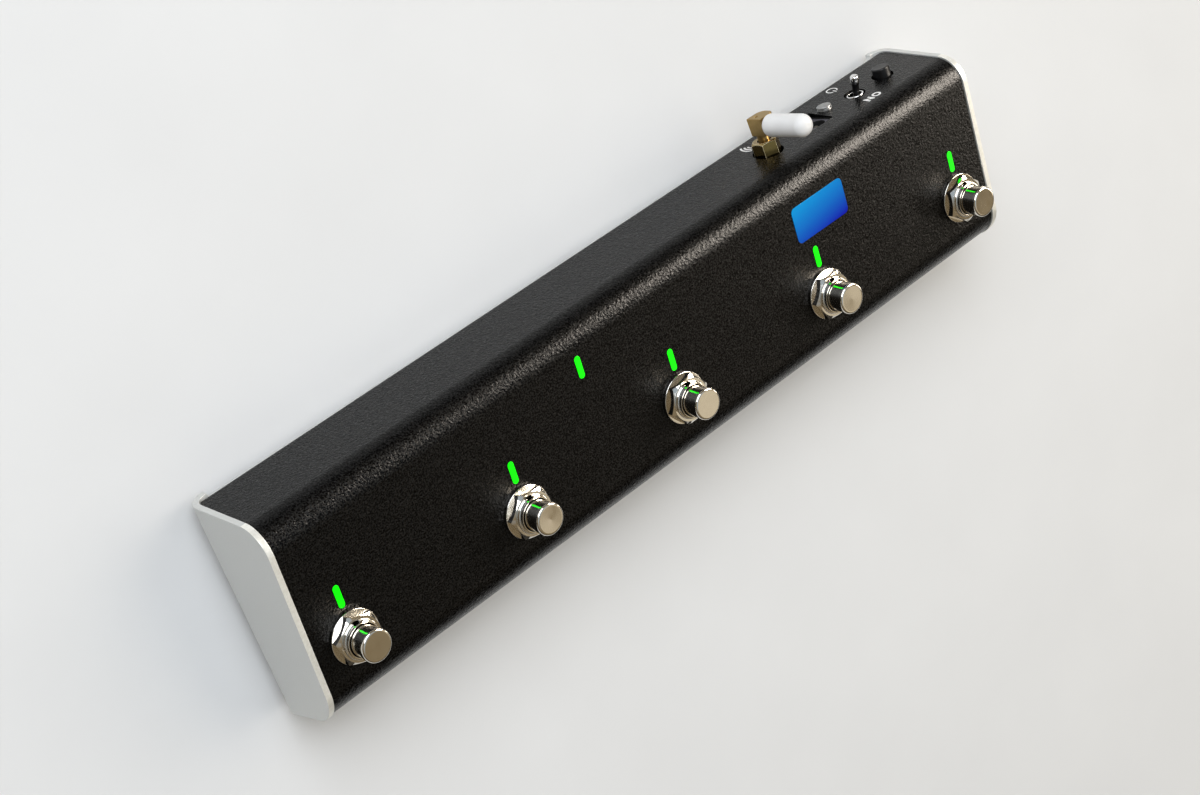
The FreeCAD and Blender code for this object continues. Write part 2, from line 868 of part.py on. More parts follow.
def board_link():
    """Two headers and the short flat cable that joins the boards."""
    under_board = "-light_board_depth - board_thickness"
    header_y = panel_y("rear_reach - header_setback", under_board)
    flat = rectangle("0", "0", "header_length", "header_width")
    header_x = from_end(f"({BOARD_FAR_INSET} - header_board_inset)")
    low = body("header_low", placing(header_x, header_y, BOARD_TOP), False)
    pad(outline(low, "XY_Plane", flat), "header_height")
    high_place = on_panel(header_x, "rear_reach - header_setback", under_board)
    high = body("header_high", high_place, False)
    pad(outline(high, "XY_Plane", flat), "header_height", reverse=True)
    group("cable_headers", [low, high])

    ribbon = body("ribbon_cable", placing(header_x, "0", "0"))
    top_above = "(-light_board_depth - board_thickness - header_height)"
    top_y = panel_y("rear_reach - header_setback", top_above)
    top_z = panel_z("rear_reach - header_setback", top_above)
    half = "ribbon_thickness / 2"
    foot_z = f"({BOARD_TOP} + header_height)"
    lean = f"{half} * tan(panel_slope)"
    strip = [
        (f"{header_y} - {half}", foot_z),
        (f"{header_y} + {half}", foot_z),
        (f"{top_y} + {half}", f"{top_z} + {lean}"),
        (f"{top_y} - {half}", f"{top_z} - {lean}"),
    ]
    pad(outline(ribbon, "YZ_Plane", strip), "ribbon_width", symmetric=True)


def battery():
    """A flat cell on a foam pad, stuck to the floor of the base."""
    place = placing("battery_x", "battery_y", f"{BASE_TOP} + pad_thickness")
    pack = body("battery_pack", place)
    end = moved(
        cut_corners("battery_width", "battery_height", "battery_corner"), "0", "battery_height / 2"
    )
    pad(outline(pack, "YZ_Plane", end), "battery_length", symmetric=True)
    foam = body("battery_pad", placing("battery_x", "battery_y", BASE_TOP))
    sheet = rectangle(
        "0", "0", "battery_length - 2 * pad_margin", "battery_width - 2 * pad_margin"
    )
    pad(outline(foam, "XY_Plane", sheet), "pad_thickness")


# Rear wall

def antenna():
    """A threaded socket on the board, its hexagon coupling nut, and the jointed stub antenna."""
    wall = rear_wall_y(AXIS_Z)
    socket = body("antenna_socket", placing(from_end("antenna_inset"), wall, AXIS_Z))
    base = rectangle("0", "-socket_setback - socket_depth / 2", "socket_width", "socket_depth")
    foot = placing("0", "0", "-axis_height")
    pad(outline(socket, "XY_Plane", base, foot), "axis_height + socket_width / 2")
    end = placing("0", "0", "-socket_thread_end")
    thread = circles(socket, "XZ_Plane", [("0", "0", "socket_thread")], end)
    pad(thread, "socket_setback + socket_thread_end")

    place = placing(from_end("antenna_inset"), f"{wall} - coupling_start", AXIS_Z, "-90")
    nut = body("antenna_nut", turned_place(place, "coupling_turn"))
    length = "(coupling_start + coupling_end)"
    pad(outline(nut, "XY_Plane", hexagon("coupling_width")), length)
    nut_corners(nut, "coupling_width", length, "coupling_chamfer")
    inside = circles(nut, "XY_Plane", [("0", "0", "socket_thread + 2 * thread_fit")])
    pocket(inside, f"{length} - coupling_collar", reverse=True)
    mouth = circles(nut, "XY_Plane", [("0", "0", "elbow_neck + 2 * elbow_neck_fit")])
    pocket(mouth, length, reverse=True)

    elbow = body("antenna_elbow", placing(from_end("antenna_inset"), f"{wall} + elbow_reach", AXIS_Z))
    section = [
        ("-elbow_left", "-elbow_below"),
        ("elbow_right", "-elbow_below"),
        ("elbow_right", "elbow_above"),
        ("-elbow_left", "elbow_above"),
    ]
    block = pad(outline(elbow, "XZ_Plane", section), "elbow_depth", symmetric=True)
    soften(
        block,
        "elbow_corner",
        lambda e: runs_along(e, "y") and passes(e, x="elbow_right", z="elbow_above"),
    )
    neck = circles(elbow, "XZ_Plane", [("0", "0", "elbow_neck")])
    pad(neck, "elbow_reach - socket_thread_end")

    place = placing(from_end("antenna_inset"), f"{wall} + elbow_reach", f"{AXIS_Z} + elbow_above")
    sleeve = body("antenna_sleeve", place)
    radius = "sleeve_diameter / 2"
    spin(
        sleeve,
        [
            ("0", "0"),
            (radius, "0"),
            (radius, "sleeve_length - sleeve_tip"),
            (f"{radius} - sleeve_tip", "sleeve_length"),
            ("0", "sleeve_length"),
        ],
    )


def power_inlet():
    """A barrel socket whose mouth stands in the wall's square opening, with its centre pin."""
    front = f"({rear_wall_y(f'{BOARD_TOP} + jack_height')} - jack_recess)"
    jack = body("dc_jack", placing(from_end("jack_inset"), front, BOARD_TOP))
    face = cut_corners("jack_width", "jack_height", "jack_corner")
    case = moved(face, "0", "jack_height / 2")
    pad(outline(jack, "XZ_Plane", case), "jack_depth")
    bore = circles(jack, "XZ_Plane", [("0", "jack_bore_height", "jack_bore")])
    pocket(bore, "jack_bore_depth", reverse=True)
    jack_x = from_end("jack_inset")
    bottom = placing(jack_x, f"{front} - jack_bore_depth", f"{BOARD_TOP} + jack_bore_height", "-90")
    pin = body("dc_jack_pin", bottom)
    rod = circles(pin, "XY_Plane", [("0", "0", "jack_pin")])
    pad(rod, "jack_bore_depth - jack_pin_short")


def power_lamp():
    """A round light guide through the wall, and the upright light behind it."""
    height = f"({BOARD_TOP} + lamp_height)"
    wall = rear_wall_y(height)
    lens = body("power_light", placing(from_end("lamp_inset"), wall, height, "-90"))
    spin(
        lens,
        [
            ("0", "-lamp_length"),
            ("lamp_diameter / 2", "-lamp_length"),
            ("lamp_diameter / 2", "lamp_out - lamp_edge"),
            ("lamp_diameter / 2 - lamp_edge", "lamp_out"),
            ("0", "lamp_out"),
        ],
    )
    behind = f"{wall} - lamp_length - lamp_chip_depth / 2"
    chip = body("power_led", placing(from_end("lamp_inset"), behind, BOARD_TOP))
    foot = rectangle("0", "0", "lamp_chip_width", "lamp_chip_depth")
    pad(outline(chip, "XY_Plane", foot), "lamp_height + lamp_diameter / 2")


def power_toggle():
    """A small lever switch: its case on the board, a plain bushing and a lever on a ball."""
    wall = rear_wall_y(AXIS_Z)
    back = f"({wall} - toggle_bushing_back)"
    case = body("toggle_body", placing(from_end("toggle_inset"), back, BOARD_TOP))
    foot = rectangle("0", "-toggle_body_depth / 2", "toggle_body_width", "toggle_body_depth")
    pad(outline(case, "XY_Plane", foot), "axis_height + toggle_body_above")

    ring = body("toggle_bushing", placing(from_end("toggle_inset"), back, AXIS_Z, "-90"))
    mouth = "toggle_bushing_back - toggle_bushing_inset"
    spin(
        ring,
        [
            ("toggle_bushing_bore / 2", "0"),
            ("toggle_bushing_outer / 2", "0"),
            ("toggle_bushing_outer / 2", mouth),
            ("toggle_bushing_bore / 2", mouth),
        ],
    )

    # the lever stands tipped up at rest, at one end of its throw
    pivot = f"{wall} - toggle_pivot_depth"
    place = placing(from_end("toggle_inset"), pivot, AXIS_Z, "-90 + toggle_throw")
    lever = body("toggle_lever", place)
    spin(
        lever,
        [
            ("0", "-toggle_ball_rise"),
            ("toggle_ball / 2", "-toggle_ball_rise"),
            ("toggle_ball / 2", "toggle_ball_rise"),
            ("toggle_shaft / 2", "toggle_ball_rise"),
            ("toggle_shaft / 2", "toggle_length - toggle_tip_length"),
            ("toggle_tip / 2", "toggle_length - toggle_tip_length"),
            ("toggle_tip / 2", "toggle_length"),
            ("0", "toggle_length"),
        ],
    )


def function_button():
    """A round cap in an open hole, and the small switch that it presses."""
    wall = rear_wall_y(AXIS_Z)
    cap = body("function_cap", placing(from_end("button_inset"), wall, AXIS_Z, "-90"))
    spin(
        cap,
        [
            ("0", "-button_inside"),
            ("button_diameter / 2", "-button_inside"),
            ("button_diameter / 2", "button_out - button_edge"),
            ("button_diameter / 2 - button_edge", "button_out"),
            ("0", "button_out"),
        ],
    )
    behind = f"{wall} - button_inside - button_travel - tact_gap"
    tact = body("tact_switch", placing(from_end("button_inset"), behind, BOARD_TOP))
    foot = rectangle("0", "-tact_depth / 2", "tact_width", "tact_depth")
    pad(outline(tact, "XY_Plane", foot), "tact_height")


base_chassis()
top_cover()
feet()
press_switches()
lights()
light_board()
main_board()
board_link()
battery()
antenna()
power_inlet()
power_lamp()
power_toggle()
function_button()
DOC.recompute()

for item in DOC.Objects:
    if "Invalid" in item.State or "Error" in item.State:
        raise RuntimeError(f"{item.Name} has state {item.State}")
os.makedirs("parts", exist_ok=True)
for name, item in NODES.items():
    item.Label = name
    if item.Shape.isNull() or not item.Shape.isValid():
        raise RuntimeError(f"{name} has no valid shape")
    item.Shape.exportStep(f"parts/{name}.step")
    print(name, len(item.Shape.Solids), round(item.Shape.Volume, 1))
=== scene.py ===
import math

import bmesh
import bpy
from mathutils import Matrix, Vector


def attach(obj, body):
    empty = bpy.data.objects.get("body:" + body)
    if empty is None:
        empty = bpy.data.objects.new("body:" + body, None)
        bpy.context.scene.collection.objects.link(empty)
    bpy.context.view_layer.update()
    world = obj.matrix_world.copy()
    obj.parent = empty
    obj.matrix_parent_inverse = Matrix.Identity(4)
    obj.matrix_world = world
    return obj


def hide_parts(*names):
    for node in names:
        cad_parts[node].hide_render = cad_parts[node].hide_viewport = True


# Foot controller: five press switches in a folded black cover between two light end plates.
# Lengths below are in millimetres and are turned to metres where a piece is made. X runs along
# the row of switches, Y to the rear wall and Z up from the floor.

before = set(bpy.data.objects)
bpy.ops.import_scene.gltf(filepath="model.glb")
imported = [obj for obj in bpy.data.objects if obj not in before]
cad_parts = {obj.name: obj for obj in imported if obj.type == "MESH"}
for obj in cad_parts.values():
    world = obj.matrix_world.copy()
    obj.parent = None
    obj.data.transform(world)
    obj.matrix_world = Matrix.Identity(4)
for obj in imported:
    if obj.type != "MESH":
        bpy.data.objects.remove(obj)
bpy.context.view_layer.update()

MM = 0.001

# The panel rises to the rear; the row of switches is at this y and z on it
SLOPE = math.radians(6.3)
ROW_Y = -12.7
ROW_Z = 34.9
PANEL_LEAN = (SLOPE, 0, 0)
SWITCH_PLACES = (-132.6, -66.3, 0, 66.3, 132.6)

# Each nut is left at its own angle, in degrees, on a washer of this thickness
NUT_TURNS = (11, 20, 38, 27, 50)
WASHER_THICK = 0.8

# Light bars, label and the panel's rear edge, measured up the slope from the row of switches
LIGHT_UP = 13.4
STATUS_X = -32.9
STATUS_UP = 29.8
LABEL_X = 72.1
LABEL_UP = 26.8
PANEL_REAR = 44

# Half lengths of the cover and the base; the base's sheet lies on feet of this height
COVER_HALF = 145.7
BASE_HALF = 148
BASE_SHEET = 2
FOOT_HEIGHT = 3

# Most connectors sit at one height of the rear wall, whose outer face is at this y there. A
# piece made upright is leaned to point out of the wall
WALL_LEAN = (-math.pi / 2, 0, 0)
WALL_ROW = 20.5
WALL_ROW_Y = 33.157
ANTENNA_X = 74.5
INLET_X = 95.9
INLET_Z = 21
LAMP_X = 104.9
LAMP_Z = 17.3
TOGGLE_X = 116.4
BUTTON_X = 130.3

# The inlet's body, as (x, z) at its lower left and upper right
INLET_LOW = (91.4, 14)
INLET_HIGH = (100.4, 25)


# Where things sit

def on_panel(x, along):
    """A point on the sloping panel, in metres: up the slope from the row of switches."""
    return Vector((x, ROW_Y + along * math.cos(SLOPE), ROW_Z + along * math.sin(SLOPE))) * MM


def wall_y(z):
    """Y of the rear wall's outer face at a height, in millimetres."""
    return WALL_ROW_Y - (z - WALL_ROW) * math.tan(SLOPE)


def on_wall(x, z=WALL_ROW, out=0.0):
    """A point on the rear wall's outer face, or that far out of it, in metres."""
    return Vector((x, wall_y(z) + out, z)) * MM


# Ways of working

def named(name):
    """The piece just added, under its own name."""
    piece = bpy.context.active_object
    piece.name = name
    piece.data.name = name
    return piece


def take(piece):
    """Select this piece alone and make it the active one."""
    bpy.ops.object.select_all(action="DESELECT")
    piece.select_set(True)
    bpy.context.view_layer.objects.active = piece


def settle(piece, place=None, lean=None):
    """Put a piece in its place and write the place into its mesh."""
    take(piece)
    if place is not None:
        piece.location = place
    if lean is not None:
        piece.rotation_euler = lean
    bpy.ops.object.transform_apply(location=True, rotation=True, scale=True)
    return piece


def pick(piece, kind, test):
    """In edit mode, select the faces, edges or corners that pass a test."""
    take(piece)
    bpy.ops.object.mode_set(mode="EDIT")
    bpy.ops.mesh.select_mode(type=kind)
    bpy.ops.mesh.select_all(action="DESELECT")
    shape = bmesh.from_edit_mesh(piece.data)
    items = {"FACE": shape.faces, "EDGE": shape.edges, "VERT": shape.verts}[kind]
    for item in items:
        if test(item):
            item.select_set(True)
    shape.select_flush_mode()
    bmesh.update_edit_mesh(piece.data)


def done():
    """Leave edit mode."""
    bpy.ops.object.mode_set(mode="OBJECT")


def middle(edge):
    """The middle of an edge, in millimetres."""
    return (edge.verts[0].co + edge.verts[1].co) / 2 / MM


def runs(edge, axis):
    """Whether an edge runs along an axis."""
    span = edge.verts[1].co - edge.verts[0].co
    return abs(span[axis]) > 0.999 * span.length


def round_edges(piece, radius, segments, test):
    """Round the edges that pass a test."""
    pick(piece, "EDGE", test)
    bpy.ops.mesh.bevel(offset=radius * MM, segments=segments, profile=0.5, affect="EDGES")
    done()
    return piece


def block(name, low, high):
    """A block between two corners."""
    bpy.ops.object.select_all(action="DESELECT")
    bpy.ops.mesh.primitive_cube_add(size=1, location=(0, 0, 0))
    made = named(name)
    made.scale = [(b - a) * MM for a, b in zip(low, high)]
    return settle(made, [(a + b) / 2 * MM for a, b in zip(low, high)])


def hexagon(name, across, low, high):
    """A six-sided block of a width across its flats, standing between two heights."""
    bpy.ops.object.select_all(action="DESELECT")
    bpy.ops.mesh.primitive_cylinder_add(
        vertices=6, radius=across / 2 / math.cos(math.pi / 6) * MM, depth=(high - low) * MM,
        location=(0, 0, (low + high) / 2 * MM))
    return settle(named(name))


def turned(name, rings, hollow=False, sides=96):
    """A turned piece: a circle drawn up through rings of (radius, height) and then closed."""
    radius, height = rings[0]
    bpy.ops.object.select_all(action="DESELECT")
    bpy.ops.mesh.primitive_circle_add(
        vertices=sides, radius=radius * MM, location=(0, 0, height * MM))
    made = settle(named(name))
    bpy.ops.object.mode_set(mode="EDIT")
    bpy.ops.mesh.select_mode(type="EDGE")
    bpy.ops.mesh.select_all(action="SELECT")
    for next_radius, next_height in rings[1:]:
        rise = (0, 0, (next_height - height) * MM)
        bpy.ops.mesh.extrude_region_move(TRANSFORM_OT_translate={"value": rise})
        grow = next_radius / radius
        bpy.ops.transform.resize(value=(grow, grow, 1), center_override=(0, 0, next_height * MM))
        radius, height = next_radius, next_height
    bpy.ops.mesh.select_all(action="DESELECT")
    bpy.ops.mesh.select_non_manifold()
    if hollow:
        bpy.ops.mesh.bridge_edge_loops()
    else:
        bpy.ops.mesh.fill_holes(sides=0)
    bpy.ops.mesh.select_all(action="SELECT")
    bpy.ops.mesh.normals_make_consistent(inside=False)
    done()
    return made


def finish_with(piece, kind, **settings):
    """Add a modifier and apply it."""
    take(piece)
    bpy.ops.object.modifier_add(type=kind)
    worker = piece.modifiers[-1]
    for name, value in settings.items():
        setattr(worker, name, value)
    bpy.ops.object.modifier_apply(modifier=worker.name)
    return piece


def cut(piece, *cutters, how="DIFFERENCE"):
    """Take the cutters away from a piece, join them to it or keep what they share."""
    for cutter in cutters:
        finish_with(piece, "BOOLEAN", object=cutter, operation=how, solver="EXACT")
        bpy.data.objects.remove(cutter)
    return piece


def soften(piece, width, segments=2, angle=30, edge_finish=-1):
    """Break the edges sharper than an angle, then shade the rest smooth. The broken edges take
    the faces' finish, or the piece's finish of that number."""
    finish_with(
        piece, "BEVEL", width=width * MM, segments=segments, limit_method="ANGLE",
        angle_limit=math.radians(angle), material=edge_finish, harden_normals=False,
    )
    return smooth(piece)


def smooth(piece, angle=35):
    """Shade smooth across edges blunter than an angle."""
    take(piece)
    bpy.ops.object.shade_smooth_by_angle(angle=math.radians(angle))
    return finish_with(piece, "WEIGHTED_NORMAL", keep_sharp=True, weight=100)


def twin(piece, name):
    """A copy with its own mesh."""
    made = piece.copy()
    made.data = piece.data.copy()
    bpy.context.collection.objects.link(made)
    made.name = name
    made.data.name = name
    return made


def wear(piece, *finishes):
    """Give a piece its finishes, in the order of their numbers."""
    piece.data.materials.clear()
    for finish in finishes:
        piece.data.materials.append(finish)


def fit(piece, body, stands_for=None, finish=None):
    """Let a piece ride on its body, stand for its CAD node and take its finish."""
    if finish is not None:
        wear(piece, finish)
    if stands_for:
        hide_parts(stands_for)
    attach(piece, body)
    return piece


# Finishes

def colour(code):
    """An sRGB hex value as linear light."""
    parts = [int(code[i:i + 2], 16) / 255 for i in (1, 3, 5)]
    return (*[c / 12.92 if c <= 0.04045 else ((c + 0.055) / 1.055) ** 2.4 for c in parts], 1.0)


def per_metre(size):
    """How many cells of a size in millimetres fit in a metre."""
    return 1000 / size


def add(tree, kind, inputs=None, **settings):
    """One node with its settings; its inputs are values or links."""
    made = tree.nodes.new(kind)
    for name, value in settings.items():
        setattr(made, name, value)
    for name, value in (inputs or {}).items():
        if isinstance(value, bpy.types.NodeSocket):
            tree.links.new(value, made.inputs[name])
        else:
            made.inputs[name].default_value = value
    return made


def new_finish(name, **surface):
    """A material with its surface shader ready; returns the material, its tree and its places."""
    made = bpy.data.materials.new(name)
    made.use_nodes = True
    tree = made.node_tree
    tree.nodes.clear()
    shader = add(tree, "ShaderNodeBsdfPrincipled", surface)
    add(tree, "ShaderNodeOutputMaterial", {"Surface": shader.outputs[0]})
    places = add(tree, "ShaderNodeTexCoord").outputs["Object"]
    return made, tree, shader, places


def powder_coat():
    """Fine-textured black powder coat, baked on steel: a dark skin of tiny pebbles that catch
    single sparks of light and turn a highlight into a broad, grainy sheen. A blurred coat over
    the sharper first gloss widens that sheen. The pebbles are drawn 0.5 to 0.9 mm wide, coarser
    than real ones, so that they show."""
    made, tree, shader, places = new_finish("black_powder_coat", IOR=1.5, Metallic=0.0)
    shader.inputs["Specular IOR Level"].default_value = 0.17
    shader.inputs["Coat Roughness"].default_value = 0.5
    grit = add(tree, "ShaderNodeTexNoise", {
        "Vector": places, "Scale": per_metre(0.5), "Detail": 1.0})
    for gloss, least, most in (("Roughness", 0.16, 0.27), ("Coat Weight", 0.02, 0.5)):
        glint = add(tree, "ShaderNodeMapRange", {
            "Value": grit.outputs["Fac"], "From Min": 0.36, "From Max": 0.64,
            "To Min": least, "To Max": most})
        tree.links.new(glint.outputs["Result"], shader.inputs[gloss])
    pebble = add(tree, "ShaderNodeTexNoise", {
        "Vector": places, "Scale": per_metre(0.9), "Detail": 2.0, "Roughness": 0.6})
    spark = add(tree, "ShaderNodeMapRange", {
        "Value": pebble.outputs["Fac"], "From Min": 0.6, "From Max": 0.75})
    tone = add(tree, "ShaderNodeMix", {
        "Factor": spark.outputs["Result"], "A": colour("#030303"), "B": colour("#1a1714")},
        data_type="RGBA")
    tree.links.new(tone.outputs["Result"], shader.inputs["Base Color"])
    relief = add(tree, "ShaderNodeBump", {
        "Height": pebble.outputs["Fac"], "Strength": 1.0, "Distance": 0.19 * MM})
    tree.links.new(relief.outputs["Normal"], shader.inputs["Normal"])
    tree.links.new(relief.outputs["Normal"], shader.inputs["Coat Normal"])
    return made


def silver_paint():
    """Pale silver-grey satin paint on the folded base: flat and even, with a soft fine orange
    peel that keeps reflections blurred."""
    made, tree, shader, places = new_finish(
        "silver_grey_paint", IOR=1.5, Metallic=0.25, Roughness=0.42)
    grain = add(tree, "ShaderNodeTexNoise", {
        "Vector": places, "Scale": per_metre(0.4), "Detail": 2.0})
    tone = add(tree, "ShaderNodeMix", {
        "Factor": grain.outputs["Fac"], "A": colour("#cacbc8"), "B": colour("#d5d6d3")},
        data_type="RGBA")
    tree.links.new(tone.outputs["Result"], shader.inputs["Base Color"])
    relief = add(tree, "ShaderNodeBump", {
        "Height": grain.outputs["Fac"], "Strength": 0.25, "Distance": 0.03 * MM})
    tree.links.new(relief.outputs["Normal"], shader.inputs["Normal"])
    return made


def rim_highlight_finish():
    """A nearly white finish on each end plate's trimmed rim, lighter than the plate as a painted
    highlight: a narrow pale line whose tone and shine drift with a fine grain along it."""
    made, tree, shader, places = new_finish("painted_highlight_rim", Metallic=0.35)
    marks = add(tree, "ShaderNodeTexNoise", {
        "Vector": places, "Scale": per_metre(0.8), "Detail": 2.0})
    tone = add(tree, "ShaderNodeMix", {
        "Factor": marks.outputs["Fac"], "A": colour("#dedcd2"), "B": colour("#fbfaf4")},
        data_type="RGBA")
    tree.links.new(tone.outputs["Result"], shader.inputs["Base Color"])
    shine = add(tree, "ShaderNodeMapRange", {
        "Value": marks.outputs["Fac"], "To Min": 0.25, "To Max": 0.4})
    tree.links.new(shine.outputs["Result"], shader.inputs["Roughness"])
    return made


def bright_plate(name, low, high, rough):
    """Bright nickel or chrome plate over turned brass: a mirror whose tone and sharpness drift a
    little with handling, over patches about 3 mm wide."""
    made, tree, shader, places = new_finish(name, Metallic=1.0)
    rubbed = add(tree, "ShaderNodeTexNoise", {
        "Vector": places, "Scale": per_metre(3), "Detail": 3.0})
    tone = add(tree, "ShaderNodeMix", {
        "Factor": rubbed.outputs["Fac"], "A": colour(low), "B": colour(high)},
        data_type="RGBA")
    tree.links.new(tone.outputs["Result"], shader.inputs["Base Color"])
    shine = add(tree, "ShaderNodeMapRange", {
        "Value": rubbed.outputs["Fac"], "From Min": 0.3, "From Max": 0.7,
        "To Min": rough, "To Max": rough + 0.05})
    tree.links.new(shine.outputs["Result"], shader.inputs["Roughness"])
    return made


def lit_lens(name, dark, bright, strength):
    """Diffused acrylic light guide with a green light behind it: an even glowing bar with a faint
    drift in its tone."""
    made, tree, shader, places = new_finish(name, IOR=1.49, Roughness=0.28)
    shader.inputs["Emission Strength"].default_value = strength
    glow = add(tree, "ShaderNodeTexNoise", {
        "Vector": places, "Scale": per_metre(2.4), "Detail": 1.0})
    tone = add(tree, "ShaderNodeMix", {
        "Factor": glow.outputs["Fac"], "A": colour(dark), "B": colour(bright)},
        data_type="RGBA")
    tree.links.new(tone.outputs["Result"], shader.inputs["Base Color"])
    tree.links.new(tone.outputs["Result"], shader.inputs["Emission Color"])
    return made


def plain(name, low, high, grain, rough, metallic=0.0, ior=1.5, relief=0.0):
    """A finish whose two close tones follow a grain of the given size in millimetres."""
    made, tree, shader, places = new_finish(name, Metallic=metallic, Roughness=rough)
    if metallic == 0:
        shader.inputs["IOR"].default_value = ior
    specks = add(tree, "ShaderNodeTexNoise", {
        "Vector": places, "Scale": per_metre(grain), "Detail": 3.0})
    tone = add(tree, "ShaderNodeMix", {
        "Factor": specks.outputs["Fac"], "A": colour(low), "B": colour(high)},
        data_type="RGBA")
    tree.links.new(tone.outputs["Result"], shader.inputs["Base Color"])
    if relief:
        bumps = add(tree, "ShaderNodeBump", {
            "Height": specks.outputs["Fac"], "Strength": relief, "Distance": grain * MM * 0.2})
        tree.links.new(bumps.outputs["Normal"], shader.inputs["Normal"])
    return made


def badge_blue():
    """Printed and clear-coated label: bright blue at its rear left, seen from the front, that
    deepens to navy at its front right, mostly from rear to front."""
    made, tree, shader, places = new_finish("blue_label_print", IOR=1.5, Roughness=0.22)
    shader.inputs["Specular IOR Level"].default_value = 0.3
    label_size = (24 * MM, 13 * MM, 1)
    sideways = -0.33
    local = add(tree, "ShaderNodeMapping", {
        "Vector": places, "Location": on_panel(LABEL_X, LABEL_UP), "Rotation": PANEL_LEAN,
        "Scale": label_size}, vector_type="TEXTURE")
    axes = add(tree, "ShaderNodeSeparateXYZ", {"Vector": local.outputs["Vector"]})
    across = add(tree, "ShaderNodeMath", {
        0: axes.outputs["X"], 1: sideways, 2: axes.outputs["Y"]}, operation="MULTIPLY_ADD")
    spread = add(tree, "ShaderNodeMapRange", {
        "Value": across.outputs[0], "From Min": 0.6, "From Max": -0.6})
    tone = add(tree, "ShaderNodeMix", {
        "Factor": spread.outputs["Result"], "A": colour("#00a0e0"), "B": colour("#0014b4")},
        data_type="RGBA")
    tree.links.new(tone.outputs["Result"], shader.inputs["Base Color"])
    return made


POWDER = powder_coat()
SILVER = silver_paint()
RIM_HIGHLIGHT = rim_highlight_finish()

# Nickel plate on the turned bushings, washers and nuts: a warm mirror that shows the room
NICKEL = bright_plate("nickel_plated_brass", "#d4d0c8", "#e8e5de", 0.1)
# The same plate on the caps, kept clean by use: a paler disc of reflection
CAP_NICKEL = bright_plate("polished_nickel_cap", "#dcd7cd", "#e8e4da", 0.1)
# Chromed brass of the lever switch: colder and sharper than the nickel
CHROME = bright_plate("bright_chrome", "#dcdcdc", "#f0f0f0", 0.06)
# Dyed acrylic bars lit from behind
GREEN = lit_lens("green_light_guide", "#00cc00", "#00ea00", 0.85)
# Thin gold plate on a hexagon of drawn brass: olive faces, dark where they mirror the cover
GOLD = plain("gold_plated_brass", "#8a774a", "#a18c5b", 1.5, 0.2, metallic=1.0)
# A pale gold on the nut's broken edges, a painted highlight: thin bright lines between its faces
GOLD_EDGE_HIGHLIGHT = plain("painted_highlight_gold_edge", "#e9dcb4", "#f7eed2", 0.8, 0.3, metallic=0.15)
# Gold plate gone dull on the machined elbow: brown brass with a blurred shine and faint grain
OLD_BRASS = plain("dull_gold_plate", "#9c8558", "#b59c6c", 2.0, 0.38, metallic=1.0, relief=0.1)
# Moulded nylon sleeve: an even soft white
WHITE = plain("white_moulded_nylon", "#dfdfde", "#e9e9e8", 4.0, 0.5, ior=1.53)
# Moulded rubber of the feet: nearly black, dry and fine-pored. The same black is painted shade on
# the power inlet's frame and in its mouth
RUBBER_AND_SHADE = plain("black_rubber_and_painted_shade", "#121212", "#1d1d1d", 0.4, 0.85, relief=0.3)
# Moulded ABS: black with a low satin shine
BLACK = plain("black_moulded_plastic", "#0c0c0d", "#161617", 0.5, 0.35, relief=0.05)
# Moulded nylon of the power inlet: cool dark grey against the black wall
SOCKET = plain("grey_socket_plastic", "#4c4a51", "#5b5960", 0.5, 0.42, relief=0.06)
# Clear polycarbonate over a silvered seat, unlit: pale grey with a bright edge
LAMP = plain("silvered_lamp_lens", "#8c8c8c", "#b4b4b2", 1.2, 0.4, metallic=0.7)
# Dull nickel on the centre pin, its tone darkened as painted shade deep in the mouth: a grey pin
# that hardly shows there
SHADED_PIN = plain("nickel_pin_painted_shade", "#5e5c58", "#72706b", 1.0, 0.42, metallic=1.0)
# Screen-printed ink: flat white with slightly uneven cover
PRINT = plain("white_printed_ink", "#dcdcda", "#efefed", 0.3, 0.6)
# Blackened zinc plate on steel screws: dark metal with a faint gleam
ZINC = plain("black_zinc_screw", "#232323", "#383836", 0.6, 0.32, metallic=1.0)

# Studio, in metres: a roll of matt white paper, the camera, soft lights and the room around them

FLOOR_SIDE = 8
bpy.ops.object.select_all(action="DESELECT")
bpy.ops.mesh.primitive_plane_add(size=FLOOR_SIDE, location=(0, 0, 0))
floor = named("studio_floor")
# Seamless paper: nearly white and fully matt, with a slow drift in its tone
wear(floor, plain("matt_white_paper", "#dcdddd", "#e4e5e5", 60.0, 0.9))

# The camera's place and axes, worked out from where the switches and corners stand in the picture
CAMERA_PLACE = Vector((-0.3955, 0.2766, 0.6064))
RIGHT = Vector((0.7062, -0.3445, 0.6186))
UP = Vector((0.4995, 0.8615, -0.0905))
FORWARD = Vector((0.5017, -0.3729, -0.7806))

camera = bpy.data.objects.new("photo_camera", bpy.data.cameras.new("photo_camera"))
bpy.context.collection.objects.link(camera)
camera.data.lens = 74.1
camera.data.sensor_width = 36
camera.data.clip_start = 0.01
axes = Matrix((RIGHT, UP, -FORWARD)).transposed().to_4x4()
camera.matrix_world = Matrix.Translation(CAMERA_PLACE) @ axes
bpy.context.scene.camera = camera
bpy.context.scene.view_settings.view_transform = "Standard"
bpy.context.scene.view_settings.look = "Medium High Contrast"


def softbox(name, place, aim, size, power, tint):
    """A rectangular light at a place, aimed at a point, with its power in watts."""
    light = bpy.data.lights.new(name, "AREA")
    light.shape = "RECTANGLE"
    light.size, light.size_y = size
    light.energy = power
    light.color = colour(tint)[:3]
    lamp = bpy.data.objects.new(name, light)
    bpy.context.collection.objects.link(lamp)
    lamp.location = place
    lamp.rotation_euler = (Vector(aim) - Vector(place)).to_track_quat("-Z", "Y").to_euler()
    return lamp


# A broad warm light from the right, which no surface mirrors, and a larger cool one from behind
WARM = "#fff6ea"
fill = softbox("right_softbox", (0.85, 0.1, 0.95), (0.1, 0, 0), (1.3, 1.2), 6.0, WARM)
fill.visible_glossy = False
